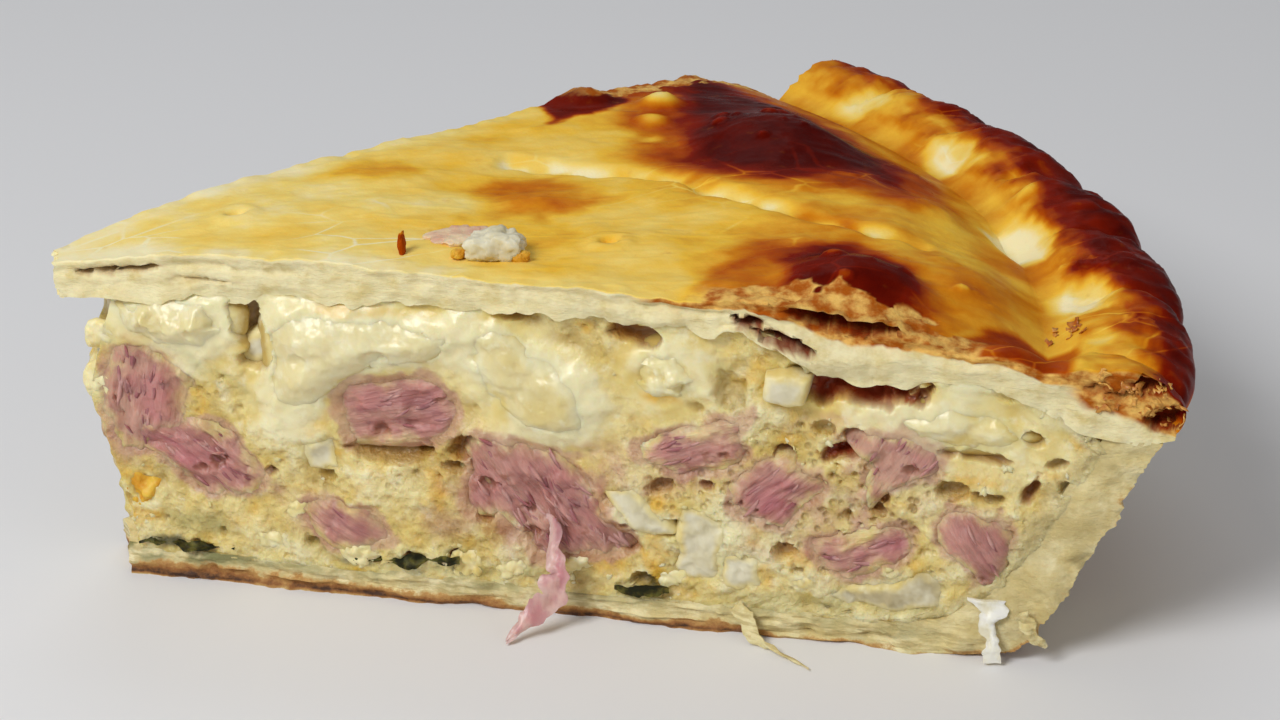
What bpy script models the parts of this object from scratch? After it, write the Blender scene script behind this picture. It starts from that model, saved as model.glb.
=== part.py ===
"""One slice of a double-crusted ham and cheese tart.

The slice is a wedge of a round tart, baked in a sloping tin. A bottom crust makes the floor and the
wall, a custard of egg and cheese fills it, and a blistered top crust closes it and is crimped into a
rope of folds round the rim. Both cuts show ham, melted cheese, boiled egg and leaf in the custard.

Metres, +Z up. X runs along the slice's middle, from the tip to the rim. The near cut faces -Y and the
far cut +Y. Places on a cut are given as a distance from the tart's centre and a height.
"""

import math
from collections import namedtuple

import bmesh
import bpy
import numpy as np
from mathutils import Matrix, Vector, noise

MM = 0.001

# Driving dimensions of the tart and the slice.
CENTRE_X = -65.1 * MM  # the tart's centre, so that the slice's box is centred on the origin
HALF_ANGLE = math.radians(26.4)
BLUNT_TIP = 1.0 * MM  # half the width of the slice at its tip
GAP = 0.35 * MM  # clearance between neighbouring pieces

# Section of the top crust, as radius and height in mm.
LID_SKIN = ((0, 39.6), (12, 41.4), (26, 42.6), (60, 41.4), (86, 41.6), (98, 40.2), (107, 36.8), (114, 33.2))
LID_UNDERSIDE = (
    (0, 35.2), (26, 37.3), (60, 37.8), (85, 37.4), (100, 35.8), (108, 33.4), (114, 30.9),
    (119, 29.1), (126, 28.7), (130, 30.4),
)  # fmt: skip
LID_STEPS = 12
ROPE_STEPS = 7
ROPE_RADIUS = 122.8  # middle of the crimped rope, mm
ROPE_HEIGHT = 31.4
ROPE_HALF_WIDTH = 7.6
ROPE_HALF_HEIGHT = 5.4
ROPE_INNER_ANGLE = 152  # degrees round the rope's section, from level outwards
ROPE_OUTER_ANGLE = -8
CREASE_ANGLES = (-34.6, -25.6, -16.6, -7.6, 1.4, 10.0, 18.8, 27.6)  # outer ends of the creases, degrees
CREASE_SLANT = 2.4  # how far a crease has turned by the rope's inner side, degrees
NOTCH_DEPTH = 2.4  # of the rope's outer edge at a crease, mm
HOLLOW_DEPTH = 3.0  # of the thumb mark at a crease's inner end, mm
STEPS_PER_FOLD = 5

# Swellings of the top crust: where, how long and wide, and how high, in mm and degrees.
Blister = namedtuple("Blister", "radius angle length width height")
BLISTERS = (
    Blister(91, 10, 25, 23, 2.6),
    Blister(91, -24, 16, 10, 2.6),
    Blister(57, -0.5, 12, 8, 0.9),
    Blister(78, 25, 6, 6, 1.6),
    Blister(88, 22, 9, 8, 1.2),
    Blister(110, -25, 8, 5, 1.6),
    Blister(101, -9, 12, 11, 1.6),
)
FOLD_LINE = ((66, 19), (87, -6.4), (109, -16.7))  # the valley between the blisters, mm and degrees
FOLD_DEPTH = 1.3
FOLD_HALF_WIDTH = 4.5
SAG = Blister(94, -26.4, 13, 13, -3.6)  # the lowest dough sheet, hanging over a hollow at the near cut

# Section of the bottom crust: (radius, height) outside and inside, mm.
BOTTOM_SECTION = (
    ((6.5, 0.0), (6.0, 3.3)),
    ((35, 0.0), (35, 3.3)),
    ((70, 0.0), (70, 3.3)),
    ((106, 0.0), (99.5, 3.3)),
    ((110.5, 0.5), (104.8, 4.4)),
    ((113.8, 2.2), (108.8, 7.8)),
    ((117.2, 7.6), (111.2, 10.8)),
    ((120.4, 14.5), (113.8, 15.0)),
    ((124.2, 23.0), (117.6, 23.0)),
    ((127.0, 28.3), (120.8, 28.3)),
)
BOTTOM_STEPS_ACROSS = 16

# The custard: its outer edge and its blunt tip, as height and radius, mm.
CUSTARD_FLOOR = 3.65
CUSTARD_OUTER = ((3.6, 98.8), (5.0, 104.2), (8.4, 108.2), (14, 112.4), (23, 116.7), (27.4, 118.7), (30.3, 114.2))
CUSTARD_TIP = ((3, 7.2), (11, 6.4), (19, 4.6), (24, 3.4), (29, 4.6), (35, 6.4))
CUSTARD_SETBACK = 0.6 * MM  # of the custard's cuts behind the crust's
CUSTARD_STEPS = (30, 4, 10)  # along the radius, across, and up
CUSTARD_HEADROOM = 0.8  # below the top crust, whose faces are coarser, mm
CUSTARD_RELIEF = 0.6 * MM

# Hollows in the custard and between the dough sheets, on the near cut (side -1) or the far cut.
Hollow = namedtuple("Hollow", "side along up length height depth tilt")
CUSTARD_HOLLOWS = (
    Hollow(-1, 23.6, 32.4, 4.6, 8.0, 7, 0),
    Hollow(-1, 93.6, 31.8, 13.5, 4.6, 16, 4),
    Hollow(-1, 39.8, 19.2, 12.0, 2.4, 8, 0),
    Hollow(-1, 48.6, 20.3, 5.2, 2.6, 7, 25),
    Hollow(-1, 92.3, 24.0, 6.6, 2.6, 9, 12),
    Hollow(-1, 68.4, 36.2, 7.2, 3.0, 9, -10),
    Hollow(-1, 106.2, 21.4, 7.6, 2.4, 6, -8),
    Hollow(1, 40.0, 20.5, 9.0, 2.6, 8, -6),
    Hollow(1, 74.0, 33.6, 10.0, 3.2, 10, 0),
    Hollow(1, 90.0, 20.4, 7.0, 2.6, 8, 8),
)
CRUST_HOLLOWS = (
    Hollow(-1, 93.4, 39.6, 13.6, 3.0, 22, -4),
    Hollow(-1, 84.6, 38.5, 13.0, 1.2, 12, -16),
    Hollow(-1, 7.6, 39.2, 12.0, 1.1, 5, 6),
    Hollow(1, 70.0, 39.6, 16.0, 1.2, 12, 0),
)
HOLLOW_RINGS = 5

# Pieces that show at a cut: length along it, height, proudness and tilt, in mm and degrees.
Chunk = namedtuple("Chunk", "name side along up length height proud tilt", defaults=(0,))
HAM = (
    Chunk("ham_near_1", -1, 40.8, 24.0, 14.0, 8.4, 0.9, 0),
    Chunk("ham_near_2", -1, 11.8, 24.0, 12.0, 9.2, 1.0, 0),
    Chunk("ham_near_3", -1, 19.8, 13.9, 14.0, 5.8, 1.0, -20),
    Chunk("ham_near_4", -1, 33.6, 9.8, 11.5, 6.2, 1.0, -14),
    Chunk("ham_near_5", -1, 56.2, 12.6, 16.5, 14.4, 1.2, 0),
    Chunk("ham_near_6", -1, 75.8, 23.4, 14.0, 5.4, 1.0, 16),
    Chunk("ham_near_7", -1, 85.0, 18.5, 11.6, 6.8, 0.9, -6),
    Chunk("ham_near_8", -1, 98.8, 22.4, 8.8, 7.8, 1.0, 0),
    Chunk("ham_near_9", -1, 95.8, 12.0, 11.6, 6.0, 1.1, 8),
    Chunk("ham_near_10", -1, 107.0, 14.4, 9.2, 9.0, 1.0, -20),
    Chunk("ham_far_1", 1, 17.0, 21.0, 12.0, 8.6, 1.0, 12),
    Chunk("ham_far_2", 1, 34.0, 28.6, 13.5, 8.0, 0.9, -10),
    Chunk("ham_far_3", 1, 49.0, 12.6, 15.0, 10.0, 1.1, 18),
    Chunk("ham_far_4", 1, 67.0, 23.0, 13.0, 7.6, 1.0, -14),
    Chunk("ham_far_5", 1, 82.5, 12.0, 13.0, 8.6, 1.0, 8),
    Chunk("ham_far_6", 1, 99.0, 20.6, 12.0, 8.0, 1.2, -6),
)
EGG_WHITE = (
    Chunk("egg_white_near_1", -1, 86.0, 31.4, 5.4, 4.6, 1.8, -4),
    Chunk("egg_white_near_2", -1, 68.0, 15.6, 8.6, 4.0, 0.9, -45),
    Chunk("egg_white_near_3", -1, 76.4, 10.6, 5.4, 9.4, 0.9, 4),
    Chunk("egg_white_near_4", -1, 82.4, 8.2, 4.8, 5.4, 0.9, 0),
    Chunk("egg_white_near_5", -1, 31.0, 18.0, 4.6, 4.8, 1.0, 6),
    Chunk("egg_white_near_6", -1, 23.4, 31.6, 3.2, 6.0, -1.6, 4),
    Chunk("egg_white_near_7", -1, 98.2, 6.9, 10.6, 3.2, 0.9, 4),
    Chunk("egg_white_far_1", 1, 31.0, 13.0, 6.0, 6.4, 1.0, 14),
    Chunk("egg_white_far_2", 1, 66.0, 10.4, 5.4, 8.6, 0.9, -24),
    Chunk("egg_white_far_3", 1, 88.0, 28.4, 6.2, 5.2, 1.3, 8),
    Chunk("egg_white_far_4", 1, 99.0, 10.6, 8.0, 4.4, 0.9, 30),
)
EGG_YOLK = (
    Chunk("egg_yolk_near", -1, 8.8, 11.0, 5.8, 5.0, 1.0, 0),
    Chunk("egg_yolk_far", 1, 61.0, 32.4, 7.0, 5.6, 1.1, 0),
)
CHEESE = (
    Chunk("cheese_near_1", -1, 38.4, 31.8, 23.4, 6.8, 1.9, 0),
    Chunk("cheese_near_2", -1, 14.4, 32.8, 12.6, 6.4, 1.2, 4),
    Chunk("cheese_near_3", -1, 59.2, 29.4, 14.6, 11.6, 1.4, 0),
    Chunk("cheese_near_4", -1, 72.0, 31.0, 8.4, 6.6, 1.0, 0),
    Chunk("cheese_near_5", -1, 105.4, 27.4, 15.0, 3.8, 1.0, -4),
    Chunk("cheese_far_1", 1, 50.0, 30.0, 13.0, 9.0, 1.4, 0),
    Chunk("cheese_far_2", 1, 103.6, 27.6, 12.0, 3.8, 1.0, -6),
)
DEEPEST_CHUNK = 7.5
DEPTH_SHARE = 0.42  # of the distance from the tart's centre, where the wedge is too thin for more
CHEESE_DROOP = 6.4  # how far the largest cheese has run down at its left end, mm
HAM_CELLS = (3, 2, 2)
DICE_CELLS = (2, 1, 2)
CHEESE_CELLS = (5, 2, 3)

# Strips and leaves in front of a cut: their course as distance and height, and their width, mm.
Strip = namedtuple("Strip", "side course widths thickness proud")
HAM_SHRED = Strip(-1, ((56.0, 11.5), (55.6, 8.6), (56.6, 5.6), (53.8, 3.0), (51.2, 0.8)), (2.2, 2.4, 4.6, 4.0, 0.9), 1.3, 1.5)
EGG_FLAKE = Strip(-1, ((108.4, 8.6), (109.2, 6.2), (109.6, 3.4), (110.0, 0.6)), (5.0, 3.0, 2.6, 3.2), 0.8, 1.1)
LEAVES = {
    "leaf_near_1": Strip(-1, ((9.0, 4.6), (12.0, 4.9), (15.6, 4.5), (19.0, 4.8)), (0.7, 1.3, 1.2, 0.7), 0.7, 0.8),
    "leaf_near_2": Strip(-1, ((34.0, 5.0), (38.0, 4.7), (42.0, 5.5), (46.5, 5.8)), (0.8, 1.4, 1.7, 1.0), 0.7, 0.9),
    "leaf_near_3": Strip(-1, ((66.0, 4.6), (69.0, 4.4), (72.0, 4.8)), (0.7, 1.3, 0.7), 0.7, 0.8),
    "leaf_far_1": Strip(1, ((24.0, 4.7), (28.0, 5.0), (33.0, 4.6)), (0.8, 1.4, 0.8), 0.7, 0.9),
    "leaf_far_2": Strip(1, ((70.0, 4.7), (76.0, 5.1), (82.0, 4.7)), (0.8, 1.5, 0.8), 0.7, 0.9),
}
STRIP_CURL = 0.35 * MM

# Crumbs of ham and egg fused to the top crust: radius, angle, length, width, height.
CRUMBS = (Blister(51, -18.4, 6.4, 4.6, 2.6), Blister(47.4, -14.2, 6.6, 3.2, 1.6), Blister(40.2, -16.2, 1.6, 4.0, 1.6))

# Plain colours, roughness; the crusts, the custard and each kind of piece.
FINISHES = {
    "baked_crust": ((0.72, 0.42, 0.12, 1), 0.42),
    "pale_crust": ((0.80, 0.68, 0.42, 1), 0.65),
    "custard": ((0.82, 0.71, 0.38, 1), 0.55),
    "ham": ((0.66, 0.31, 0.29, 1), 0.45),
    "egg_white": ((0.84, 0.82, 0.70, 1), 0.40),
    "egg_yolk": ((0.86, 0.58, 0.10, 1), 0.60),
    "cheese": ((0.88, 0.82, 0.52, 1), 0.35),
    "leaf": ((0.06, 0.09, 0.03, 1), 0.60),
}


def clear_scene():
    for thing in list(bpy.data.objects):
        bpy.data.objects.remove(thing)


def new_collection(name):
    made = bpy.data.collections.new(name)
    bpy.context.scene.collection.children.link(made)
    return made


def finish(name):
    """The named finish as a material, made once."""
    made = bpy.data.materials.get(name)
    if made is None:
        colour, roughness = FINISHES[name]
        made = bpy.data.materials.new(name)
        made.use_nodes = True
        shader = made.node_tree.nodes["Principled BSDF"]
        shader.inputs["Base Color"].default_value = colour
        shader.inputs["Roughness"].default_value = roughness
        made.diffuse_color = colour
    return made


def smooth_course(points, at):
    """A smooth curve through (place, value) points, read at a place."""
    places = [p[0] for p in points]
    values = [p[1] for p in points]
    at = min(max(at, places[0]), places[-1])
    i = min(max(int(np.searchsorted(places, at)) - 1, 0), len(places) - 2)
    slopes = np.gradient(values, places)
    step = places[i + 1] - places[i]
    t = (at - places[i]) / step
    return (
        (2 * t**3 - 3 * t**2 + 1) * values[i]
        + (t**3 - 2 * t**2 + t) * step * slopes[i]
        + (3 * t**2 - 2 * t**3) * values[i + 1]
        + (t**3 - t**2) * step * slopes[i + 1]
    )


def mound(distance):
    """1 at a swelling's middle, falling smoothly to 0 at distance 1."""
    return max(0.0, 1.0 - distance * distance) ** 2


def flat_place(radius, angle_degrees):
    angle = math.radians(angle_degrees)
    return Vector((radius * math.cos(angle), radius * math.sin(angle)))


def swelling(shape, radius, angle_degrees):
    """Height in mm that a blister adds at this place of the crust."""
    offset = flat_place(radius, angle_degrees - shape.angle) - Vector((shape.radius, 0))
    return shape.height * mound(math.hypot(offset.x / shape.length, offset.y / shape.width))


def fold_line_depth(radius, angle_degrees):
    """Depth in mm of the valley that runs between the blisters."""
    here = flat_place(radius, angle_degrees)
    corners = [flat_place(*corner) for corner in FOLD_LINE]
    nearest = FOLD_HALF_WIDTH
    for start, end in zip(corners, corners[1:]):
        run = end - start
        share = min(max((here - start).dot(run) / run.length_squared, 0), 1)
        nearest = min(nearest, (here - start - run * share).length)
    return FOLD_DEPTH * mound(nearest / FOLD_HALF_WIDTH)


def lid_skin(radius, angle_degrees):
    height = smooth_course(LID_SKIN, radius)
    height += sum(swelling(blister, radius, angle_degrees) for blister in BLISTERS)
    return height - fold_line_depth(radius, angle_degrees)


def lid_underside(radius, angle_degrees):
    return smooth_course(LID_UNDERSIDE, radius) + swelling(SAG, radius, angle_degrees)


def crease(angle_degrees, inwards, narrowness):
    """1 in a crease of the rope and 0 on the middle of a fold; inwards is 1 at the rope's inner side."""
    turned = angle_degrees - CREASE_SLANT * inwards
    place = np.interp(turned, CREASE_ANGLES, range(len(CREASE_ANGLES))) % 1.0
    return 1.0 - math.sin(math.pi * place) ** narrowness


def rope_skin(share, angle_degrees):
    """(radius, height) in mm over the rope, from its inner foot at share 0 to its outer edge at 1."""
    turn = math.radians(ROPE_INNER_ANGLE + (ROPE_OUTER_ANGLE - ROPE_INNER_ANGLE) * share)
    notch = crease(angle_degrees, 1 - share, 0.5)
    hollow = crease(angle_degrees, 1 - share, 1.1) * mound((share - 0.3) / 0.55)
    half_width = ROPE_HALF_WIDTH - NOTCH_DEPTH * notch * share**2
    return (
        ROPE_RADIUS + half_width * math.cos(turn),
        ROPE_HEIGHT + ROPE_HALF_HEIGHT * math.sin(turn) - HOLLOW_DEPTH * hollow,
    )


def wedge_point(radius, across, height, outwards=0.0):
    """A point in metres: radius and height in mm, across from -1 on the near cut to 1 on the far one."""
    angle = across * HALF_ANGLE
    normal = Vector((-math.sin(angle), math.cos(angle), 0)) * (1 if across >= 0 else -1)
    flat = flat_place(radius * MM, math.degrees(angle))
    return Vector((CENTRE_X + flat.x, flat.y + across * BLUNT_TIP, height * MM)) + normal * outwards


def torn(radius, height, side, size, amount):
    """How far a cut's surface stands out, in metres; size is that of its lumps in mm."""
    return amount * noise.noise(Vector((radius, side * 50.0, height)) / size)


def shares(steps):
    """The inner cuts of a side that is divided into equal steps."""
    return [i / steps for i in range(1, steps)]


def sliced_cube(cuts):
    """A cube from 0 to 1 on each axis, cut across at the given shares of each side."""
    made = bmesh.new()
    bmesh.ops.create_cube(made, size=1.0, matrix=Matrix.Translation((0.5, 0.5, 0.5)))
    for axis, places in enumerate(cuts):
        normal = Vector([float(i == axis) for i in range(3)])
        for place in places:
            whole = made.verts[:] + made.edges[:] + made.faces[:]
            bmesh.ops.bisect_plane(made, geom=whole, plane_co=normal * place, plane_no=normal)
    return made


def add_object(name, shape, material, collection, smooth=True):
    bmesh.ops.recalc_face_normals(shape, faces=shape.faces[:])
    if shape.calc_volume(signed=True) < 0:
        bmesh.ops.reverse_faces(shape, faces=shape.faces[:])
    mesh = bpy.data.meshes.new(name)
    shape.to_mesh(mesh)
    shape.free()
    if smooth:
        mesh.shade_smooth()
        mesh.set_sharp_from_angle(angle=math.radians(50))
    made = bpy.data.objects.new(name, mesh)
    mesh.materials.append(finish(material))
    collection.objects.link(made)
    return made


def hide(helper):
    helper.hide_render = True
    helper.display_type = "WIRE"
    return helper


def boolean(piece, operation, collection):
    modifier = piece.modifiers.new(operation.title(), "BOOLEAN")
    modifier.operation = operation
    modifier.operand_type = "COLLECTION"
    modifier.collection = collection
    modifier.solver = "MANIFOLD"  # the pockets meet the cut in slivers, which the exact solver leaves pinched


def rim_angles():
    """Shares of the slice's angle at which the top crust is divided, a fixed number to each fold."""
    half = math.degrees(HALF_ANGLE)
    steps = range((len(CREASE_ANGLES) - 1) * STEPS_PER_FOLD + 1)
    angles = np.interp([i / STEPS_PER_FOLD for i in steps], range(len(CREASE_ANGLES)), CREASE_ANGLES)
    return [(a + half) / (2 * half) for a in angles if abs(a) < half - 0.5]


def make_top_crust(collection):
    """The lid and its crimped rim, as one sheet of dough with a skin and an underside."""
    steps = LID_STEPS + ROPE_STEPS
    lid_end = LID_STEPS / steps
    shape = sliced_cube((shares(steps), rim_angles(), ()))
    for vertex in shape.verts:
        along, across, up = vertex.co
        across = 2 * across - 1
        angle = across * math.degrees(HALF_ANGLE)
        on_lid = along <= lid_end + 1e-6
        rope_share = (along - lid_end) / (1 - lid_end)
        if up > 0.5 and not on_lid:
            radius, height = rope_skin(rope_share, angle)
        elif on_lid:
            radius = LID_SKIN[-1][0] * along / lid_end
            height = lid_skin(radius, angle) if up > 0.5 else lid_underside(radius, angle)
        else:
            outer_edge = rope_skin(1.0, angle)[0] - 0.8
            radius = LID_SKIN[-1][0] + (outer_edge - LID_SKIN[-1][0]) * rope_share
            height = lid_underside(radius * LID_UNDERSIDE[-1][0] / outer_edge, angle)
        out = torn(radius, height, across, 5.0, 0.6 * MM) if abs(across) > 0.99 else 0.0
        vertex.co = wedge_point(radius, across, height, out)
    return add_object("top_crust", shape, "baked_crust", collection)


def make_bottom_crust(collection):
    """The floor and the sloping wall, as one bent sheet of dough."""
    steps = len(BOTTOM_SECTION) - 1
    shape = sliced_cube((shares(steps), shares(BOTTOM_STEPS_ACROSS), ()))
    for vertex in shape.verts:
        outside, inside = BOTTOM_SECTION[round(vertex.co.x * steps)]
        radius, height = outside if vertex.co.z < 0.5 else inside
        vertex.co = wedge_point(radius, 2 * vertex.co.y - 1, height)
    return add_object("bottom_crust", shape, "pale_crust", collection)


def make_custard(collection):
    """The set custard between the crusts, with the rough faces that tearing and cutting leave."""
    shape = sliced_cube([shares(steps) for steps in CUSTARD_STEPS])
    for vertex in shape.verts:
        along, across, up = vertex.co
        across = 2 * across - 1
        angle = across * math.degrees(HALF_ANGLE)
        low, high = CUSTARD_OUTER[0][0], CUSTARD_OUTER[-1][0]
        level = low + (high - low) * up
        edge = float(np.interp(level, *zip(*CUSTARD_OUTER)))
        tip = float(np.interp(low + (35 - low) * up, *zip(*CUSTARD_TIP)))
        radius = tip + (edge - tip) * along
        ceiling = lid_underside(radius, angle) - CUSTARD_HEADROOM
        height = CUSTARD_FLOOR + (ceiling - CUSTARD_FLOOR) * up
        out = 0.0
        if abs(across) > 0.99:
            edge_fade = min(1.0, 6 * min(up, 1 - up), 6 * along, 6 * (1 - along))
            out = torn(radius, height, across, 6.0, CUSTARD_RELIEF) * edge_fade - CUSTARD_SETBACK
        vertex.co = wedge_point(radius, across, height, out)
    return add_object("custard", shape, "custard", collection)


def stand_at_cut(piece, side, along, up, inwards, tilt):
    """Turns a piece so that its X runs along the cut and puts its middle so far inside, in mm."""
    piece.location = wedge_point(along, side, up, -inwards * MM)
    piece.rotation_euler = (0, -math.radians(tilt), side * HALF_ANGLE)


def chunk_depth(chunk):
    return min(DEEPEST_CHUNK, DEPTH_SHARE * (chunk.along - chunk.length / 2) + 0.4)


def make_chunk(chunk, cells, roundness, unevenness, material, collection, seed, droop=0.0):
    """An uneven block of food, its corners rounded off, standing a little proud of the cut."""
    depth = chunk_depth(chunk)
    size = Vector((chunk.length, depth, chunk.height)) * MM
    shape = sliced_cube([shares(cells[0]), shares(cells[1]), shares(cells[2])])
    for vertex in shape.verts:
        cube = vertex.co * 2 - Vector((1, 1, 1))
        ball = cube.normalized()
        body = cube.lerp(ball, roundness)
        wobble = 1 - unevenness * abs(noise.noise(cube * 1.3 + Vector((seed * 7.1, 0, 0)))) * 2
        body = Vector([axis * wobble * half for axis, half in zip(body, size / 2)])
        run = min(max((-cube.x - 0.4) / 0.6, 0), 1)
        body.z -= droop * MM * run * run * (3 - 2 * run)
        vertex.co = body
    made = add_object(chunk.name, shape, material, collection)
    stand_at_cut(made, chunk.side, chunk.along, chunk.up, depth / 2 - chunk.proud, chunk.tilt)
    return made


def make_strip(name, strip, material, collection):
    """A thin ribbon that follows its course in front of a cut, curling a little in and out."""
    steps = len(strip.course) - 1
    shape = sliced_cube((shares(steps), (), (0.5,)))
    for vertex in shape.verts:
        i = round(vertex.co.x * steps)
        along, up = strip.course[i]
        before = Vector(strip.course[max(i - 1, 0)])
        after = Vector(strip.course[min(i + 1, steps)])
        run = (after - before).normalized()
        across = (vertex.co.z - 0.5) * strip.widths[i]
        along, up = along - run.y * across, max(up + run.x * across, 0.15)
        curl = STRIP_CURL * math.sin(2.1 * i)
        out = (strip.proud + (0.5 - vertex.co.y) * strip.thickness) * MM + curl
        vertex.co = wedge_point(along, strip.side, up, out)
    return add_object(name, shape, material, collection)


def pocket_for(piece, collection):
    """A hidden copy of a piece, swollen by the gap, that cuts its pocket."""
    cutter = hide(bpy.data.objects.new("pocket_" + piece.name, piece.data))
    cutter.matrix_basis = piece.matrix_basis.copy()
    swell = cutter.modifiers.new("Swell", "DISPLACE")
    swell.mid_level = 0.0
    swell.strength = GAP
    collection.objects.link(cutter)


def hollow_cutter(name, hollow, collection):
    """A hidden rounded body that cuts one hollow into a cut."""
    shape = bmesh.new()
    bmesh.ops.create_uvsphere(shape, u_segments=2 * HOLLOW_RINGS, v_segments=HOLLOW_RINGS, radius=1.0)
    half = Vector((hollow.length, hollow.depth, hollow.height)) * (MM / 2)
    bmesh.ops.scale(shape, vec=half, verts=shape.verts)
    cutter = hide(add_object(name, shape, "custard", collection))
    stand_at_cut(cutter, hollow.side, hollow.along, hollow.up, 0.0, hollow.tilt)


def make_crumb(name, crumb, collection):
    """A lump of ham or egg that sits on the top crust, to be fused to it."""
    shape = bmesh.new()
    bmesh.ops.create_icosphere(shape, subdivisions=1, radius=1.0)
    half = Vector((crumb.length, crumb.width, crumb.height)) * (MM / 2)
    bmesh.ops.scale(shape, vec=half, verts=shape.verts)
    made = hide(add_object(name, shape, "baked_crust", collection))
    share = crumb.angle / math.degrees(HALF_ANGLE)
    made.location = wedge_point(crumb.radius, share, lid_skin(crumb.radius, crumb.angle) + crumb.height * 0.2)
    made.rotation_euler.z = math.radians(crumb.angle)


def fused(name, body, addition):
    """One mesh object from two that overlap."""
    helpers = new_collection("joining_" + name)
    helpers.hide_render = True
    helpers.objects.link(addition)
    boolean(body, "UNION", helpers)
    bpy.context.view_layer.update()
    graph = bpy.context.evaluated_depsgraph_get()
    mesh = bpy.data.meshes.new_from_object(body.evaluated_get(graph))
    mesh.transform(body.matrix_world)
    made = bpy.data.objects.new(name + "_fused", mesh)
    for owner in body.users_collection:
        owner.objects.link(made)
    for used in (body, addition):
        bpy.data.objects.remove(used)
    bpy.data.collections.remove(helpers)
    made.name = name
    return made


def main():
    clear_scene()
    tart = new_collection("ham_and_cheese_tart_slice")
    pockets = new_collection("pocket_cutters")
    crust_cutters = new_collection("crust_cutters")
    crumbs = new_collection("crumbs")
    for helpers in (pockets, crust_cutters, crumbs):
        helpers.hide_render = True

    top_crust = make_top_crust(tart)
    make_bottom_crust(tart)
    custard = make_custard(tart)

    embedded = []
    for seed, chunk in enumerate(HAM):
        embedded.append(make_chunk(chunk, HAM_CELLS, 0.32, 0.12, "ham", tart, seed))
    for seed, chunk in enumerate(EGG_WHITE):
        embedded.append(make_chunk(chunk, DICE_CELLS, 0.12, 0.08, "egg_white", tart, seed + 40))
    for seed, chunk in enumerate(EGG_YOLK):
        embedded.append(make_chunk(chunk, HAM_CELLS, 0.6, 0.1, "egg_yolk", tart, seed + 60))
    for seed, chunk in enumerate(CHEESE):
        droop = CHEESE_DROOP if chunk.name == "cheese_near_1" else 0.0
        embedded.append(make_chunk(chunk, CHEESE_CELLS, 0.55, 0.08, "cheese", tart, seed + 80, droop))
    for piece in embedded:
        pocket_for(piece, pockets)

    for name, strip in LEAVES.items():
        pocket_for(make_strip(name, strip, "leaf", tart), pockets)
    make_strip("egg_flake", EGG_FLAKE, "egg_white", tart)
    shred = make_strip("shred", HAM_SHRED, "ham", tart)
    fused("ham_near_5", bpy.data.objects["ham_near_5"], shred)

    for i, hollow in enumerate(CUSTARD_HOLLOWS):
        hollow_cutter(f"custard_hollow_{i}", hollow, pockets)
    for i, hollow in enumerate(CRUST_HOLLOWS):
        hollow_cutter(f"crust_hollow_{i}", hollow, crust_cutters)
    for i, crumb in enumerate(CRUMBS):
        make_crumb(f"crumb_{i}", crumb, crumbs)

    boolean(custard, "DIFFERENCE", pockets)
    boolean(top_crust, "DIFFERENCE", crust_cutters)
    boolean(top_crust, "UNION", crumbs)


main()
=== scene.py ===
import math

import bpy
import numpy as np
from mathutils import Matrix, Vector


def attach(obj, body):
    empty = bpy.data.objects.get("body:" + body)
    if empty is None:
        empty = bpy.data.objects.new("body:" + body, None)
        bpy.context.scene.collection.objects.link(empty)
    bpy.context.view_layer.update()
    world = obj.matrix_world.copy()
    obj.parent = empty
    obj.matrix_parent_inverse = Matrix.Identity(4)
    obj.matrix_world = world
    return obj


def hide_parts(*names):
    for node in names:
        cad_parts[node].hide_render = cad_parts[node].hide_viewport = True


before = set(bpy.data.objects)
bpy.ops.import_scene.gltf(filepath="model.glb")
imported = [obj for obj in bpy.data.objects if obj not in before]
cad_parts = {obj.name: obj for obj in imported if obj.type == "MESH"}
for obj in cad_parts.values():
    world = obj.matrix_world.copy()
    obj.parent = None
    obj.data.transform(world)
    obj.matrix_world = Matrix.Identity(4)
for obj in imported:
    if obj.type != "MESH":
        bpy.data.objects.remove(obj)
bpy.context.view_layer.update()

# THE VIEW
# A pale table, a large soft lamp over the left shoulder, a weaker one on the right, and the camera
# that looks down on the near cut with the tip at its left.
TABLE_REACH = 2.0
table_corners = [(x * TABLE_REACH, y * TABLE_REACH, 0) for x, y in ((-1, -1), (1, -1), (1, 1), (-1, 1))]
table = bpy.data.objects.new("table", bpy.data.meshes.new("table"))
table.data.from_pydata(table_corners, [], [(0, 1, 2, 3)])
bpy.context.scene.collection.objects.link(table)
table_paint = bpy.data.materials.new("pale_table")
table_paint.use_nodes = True
table_shader = table_paint.node_tree.nodes["Principled BSDF"]
table_shader.inputs["Base Color"].default_value = (0.80, 0.80, 0.81, 1)
table_shader.inputs["Roughness"].default_value = 0.7
table.data.materials.append(table_paint)

CAMERA_AZIMUTH = math.radians(-13.1)
CAMERA_ELEVATION = math.radians(23.2)
CAMERA_ROLL = math.radians(-0.6)
CAMERA_TARGET = Vector((0.0039, -0.002, 0.020))
CAMERA_DISTANCE = 0.367
CAMERA_LENS = 84.4
FILM_WIDTH = 36
back = Vector((
    math.sin(CAMERA_AZIMUTH) * math.cos(CAMERA_ELEVATION),
    -math.cos(CAMERA_AZIMUTH) * math.cos(CAMERA_ELEVATION),
    math.sin(CAMERA_ELEVATION),
))
level = Vector((math.cos(CAMERA_AZIMUTH), math.sin(CAMERA_AZIMUTH), 0))
upright = back.cross(level)
right = level * math.cos(CAMERA_ROLL) + upright * math.sin(CAMERA_ROLL)
up = upright * math.cos(CAMERA_ROLL) - level * math.sin(CAMERA_ROLL)
camera = bpy.data.objects.new("camera", bpy.data.cameras.new("camera"))
bpy.context.scene.collection.objects.link(camera)
camera_turn = Matrix((right, up, back)).transposed().to_4x4()
camera.matrix_world = Matrix.Translation(CAMERA_TARGET + back * CAMERA_DISTANCE) @ camera_turn
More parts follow.
